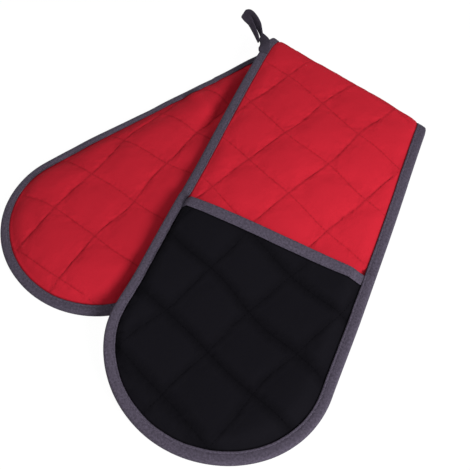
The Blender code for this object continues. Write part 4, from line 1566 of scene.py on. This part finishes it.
def seen_by_camera(nodes):
    """1 for rays that see the surface itself or its reflection, 0 for its light on other things."""
    path = nodes.node("ShaderNodeLightPath").outputs
    seen = path["Is Camera Ray"]
    for other in ("Is Glossy Ray", "Is Transmission Ray"):
        seen = nodes.maths("MAXIMUM", seen, path[other])
    return seen


def blend_shaders(nodes, share, lighting, seen, output):
    """One shader for the light on other things, and a share of another where it is seen itself."""
    mix = nodes.node("ShaderNodeMixShader", Fac=share)
    nodes.feed(mix.inputs[1], lighting)
    nodes.feed(mix.inputs[2], seen)
    nodes.feed(nodes.tree.nodes[output].inputs["Surface"], mix.outputs["Shader"])


def build_floor(lowest):
    """A large pale floor that keeps a faint shadow of the glove."""
    half = FLOOR_SIZE / 2
    z = lowest - FLOOR_GAP
    corners = [(-half, -half, z), (half, -half, z), (half, half, z), (-half, half, z)]
    mesh = bpy.data.meshes.new("floor")
    mesh.from_pydata(corners, [], [(0, 1, 2, 3)])
    shader = Shader("pale_floor")
    mesh.materials.append(shader.dress(Base_Color=FLOOR_COLOUR, Roughness=0.9, Specular_IOR_Level=0.0))
    glow = shader.node("ShaderNodeEmission", Strength=FLOOR_GLOW)
    share = shader.times(seen_by_camera(shader), FLOOR_GLOW_SHARE)
    blend_shaders(shader, share, shader.surface.outputs["BSDF"], glow.outputs["Emission"],
                  "Material Output")
    added("floor", mesh)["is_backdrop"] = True


def build_world(studio):
    """White to the camera, and a plain even light on the glove."""
    world = bpy.data.worlds.new("studio")
    bpy.context.scene.world = world
    world.use_nodes = True
    nodes = Nodes(world.node_tree)
    even = nodes.tree.nodes["Background"]
    even.inputs["Color"].default_value = (1, 1, 1, 1)
    even.inputs["Strength"].default_value = studio.ambient
    white = nodes.node("ShaderNodeBackground", Color=(1, 1, 1, 1), Strength=1.0)
    blend_shaders(nodes, seen_by_camera(nodes), even.outputs["Background"],
                  white.outputs["Background"], "World Output")


def camera_axes(studio):
    """Right, up and back of the camera, before its roll."""
    ahead = Vector((math.cos(studio.azimuth), math.sin(studio.azimuth), 0))
    right = Vector((ahead.y, -ahead.x, 0))
    lift = Vector((0, 0, 1))
    back = lift * math.sin(studio.elevation) - ahead * math.cos(studio.elevation)
    up = ahead * math.sin(studio.elevation) + lift * math.cos(studio.elevation)
    return right, up, back


def build_lamps(studio):
    """A large soft lamp over the camera's right shoulder, and a weaker one opposite."""
    right, up, back = camera_axes(studio)
    level = Vector((back.x, back.y, 0)).normalized()
    for name, (aside, near, high), power, size in (("key", KEY_PLACE, studio.key_power, KEY_SIZE),
                                                   ("fill", FILL_PLACE, studio.fill_power, FILL_SIZE)):
        light = bpy.data.lights.new(name, "AREA")
        light.energy = power
        light.shape = "DISK"
        light.size = size
        lamp = added(name, light)
        lamp.location = right * aside + level * near + Vector((0, 0, high))
        lamp.rotation_mode = "QUATERNION"
        lamp.rotation_quaternion = (-lamp.location).to_track_quat("-Z", "Y")


def build_camera(studio):
    """The photograph's view: a square picture from above one corner of the glove."""
    right, up, back = camera_axes(studio)
    aim = FOLD_CORNER + Vector((studio.aim_x, studio.aim_y, 0))
    turn = Matrix((right, up, back)).transposed() @ Matrix.Rotation(studio.roll, 3, "Z")
    data = bpy.data.cameras.new("camera")
    data.lens = studio.lens
    data.sensor_width = 36
    data.clip_start = 0.01
    camera = added("camera", data)
    camera.matrix_world = Matrix.Translation(aim + back * studio.distance) @ turn.to_4x4()
    bpy.context.scene.camera = camera


# Operators

class GLOVE_OT_quilted_strip(bpy.types.Operator):
    """Makes the covers and the wadding of both legs and of the fold between them"""
    bl_idname = "glove.quilted_strip"
    bl_label = "Quilted strip"

    def execute(self, context):
        for leg in both_legs():
            build_strip(leg)
        return {"FINISHED"}


class GLOVE_OT_pockets(bpy.types.Operator):
    """Makes the covers, wadding and linings of the two hand pockets"""
    bl_idname = "glove.pockets"
    bl_label = "Hand pockets"

    def execute(self, context):
        for leg in both_legs():
            build_pocket(leg)
        return {"FINISHED"}


class GLOVE_OT_bindings(bpy.types.Operator):
    """Folds the binding tape round the edges, the fold's ends and the pockets' mouths"""
    bl_idname = "glove.bindings"
    bl_label = "Bindings"

    def execute(self, context):
        for leg in both_legs():
            build_edge_binding(leg)
            build_mouth_binding(leg)
        build_fold_bindings(both_legs()[1])
        return {"FINISHED"}


class GLOVE_OT_stitching(bpy.types.Operator):
    """Sews the quilting and the bindings with rows of stitches"""
    bl_idname = "glove.stitching"
    bl_label = "Stitching"

    def execute(self, context):
        for leg in both_legs():
            build_quilt_stitches(leg)
            build_pocket_stitches(leg)
            build_binding_stitches(leg)
        return {"FINISHED"}


class GLOVE_OT_hanging_loop(bpy.types.Operator):
    """Makes the hanging loop and the tab that holds its ends"""
    bl_idname = "glove.hanging_loop"
    bl_label = "Hanging loop"

    def execute(self, context):
        build_loop()
        return {"FINISHED"}


class GLOVE_OT_studio(bpy.types.Operator):
    """Sets the floor, the lamps, the white surroundings and the camera"""
    bl_idname = "glove.studio"
    bl_label = "Studio"

    def execute(self, context):
        studio = context.scene.glove.studio
        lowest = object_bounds()[0].z
        build_floor(lowest)
        build_world(studio)
        build_lamps(studio)
        build_camera(studio)
        context.scene.view_settings.view_transform = "Standard"
        return {"FINISHED"}


OPERATORS = (GLOVE_OT_quilted_strip, GLOVE_OT_pockets, GLOVE_OT_bindings, GLOVE_OT_stitching,
             GLOVE_OT_hanging_loop, GLOVE_OT_studio)


class GLOVE_PT_panel(bpy.types.Panel):
    """Lists the glove's steps and sizes in the sidebar"""
    bl_idname = "GLOVE_PT_panel"
    bl_label = "Oven glove"
    bl_space_type = "VIEW_3D"
    bl_region_type = "UI"
    bl_category = "Oven glove"

    def draw(self, context):
        for operator in OPERATORS:
            self.layout.operator(operator.bl_idname)
        glove = context.scene.glove
        for group in (glove.sizes, glove.stitches, glove.colours, glove.studio):
            box = self.layout.box()
            for key in group.bl_rna.properties.keys():
                if key not in ("rna_type", "name"):
                    box.prop(group, key)


CLASSES = (GloveSizes, GloveStitches, GloveColours, GloveStudio, GloveSettings, *OPERATORS,
           GLOVE_PT_panel)


def register():
    for each in CLASSES:
        bpy.utils.register_class(each)
    bpy.types.Scene.glove = PointerProperty(type=GloveSettings)


def unregister():
    del bpy.types.Scene.glove
    for each in reversed(CLASSES):
        bpy.utils.unregister_class(each)


def main():
    register()
    bpy.ops.glove.quilted_strip()
    bpy.ops.glove.pockets()
    bpy.ops.glove.bindings()
    bpy.ops.glove.stitching()
    bpy.ops.glove.hanging_loop()
    bpy.ops.glove.studio()


if __name__ == "__main__":
    main()
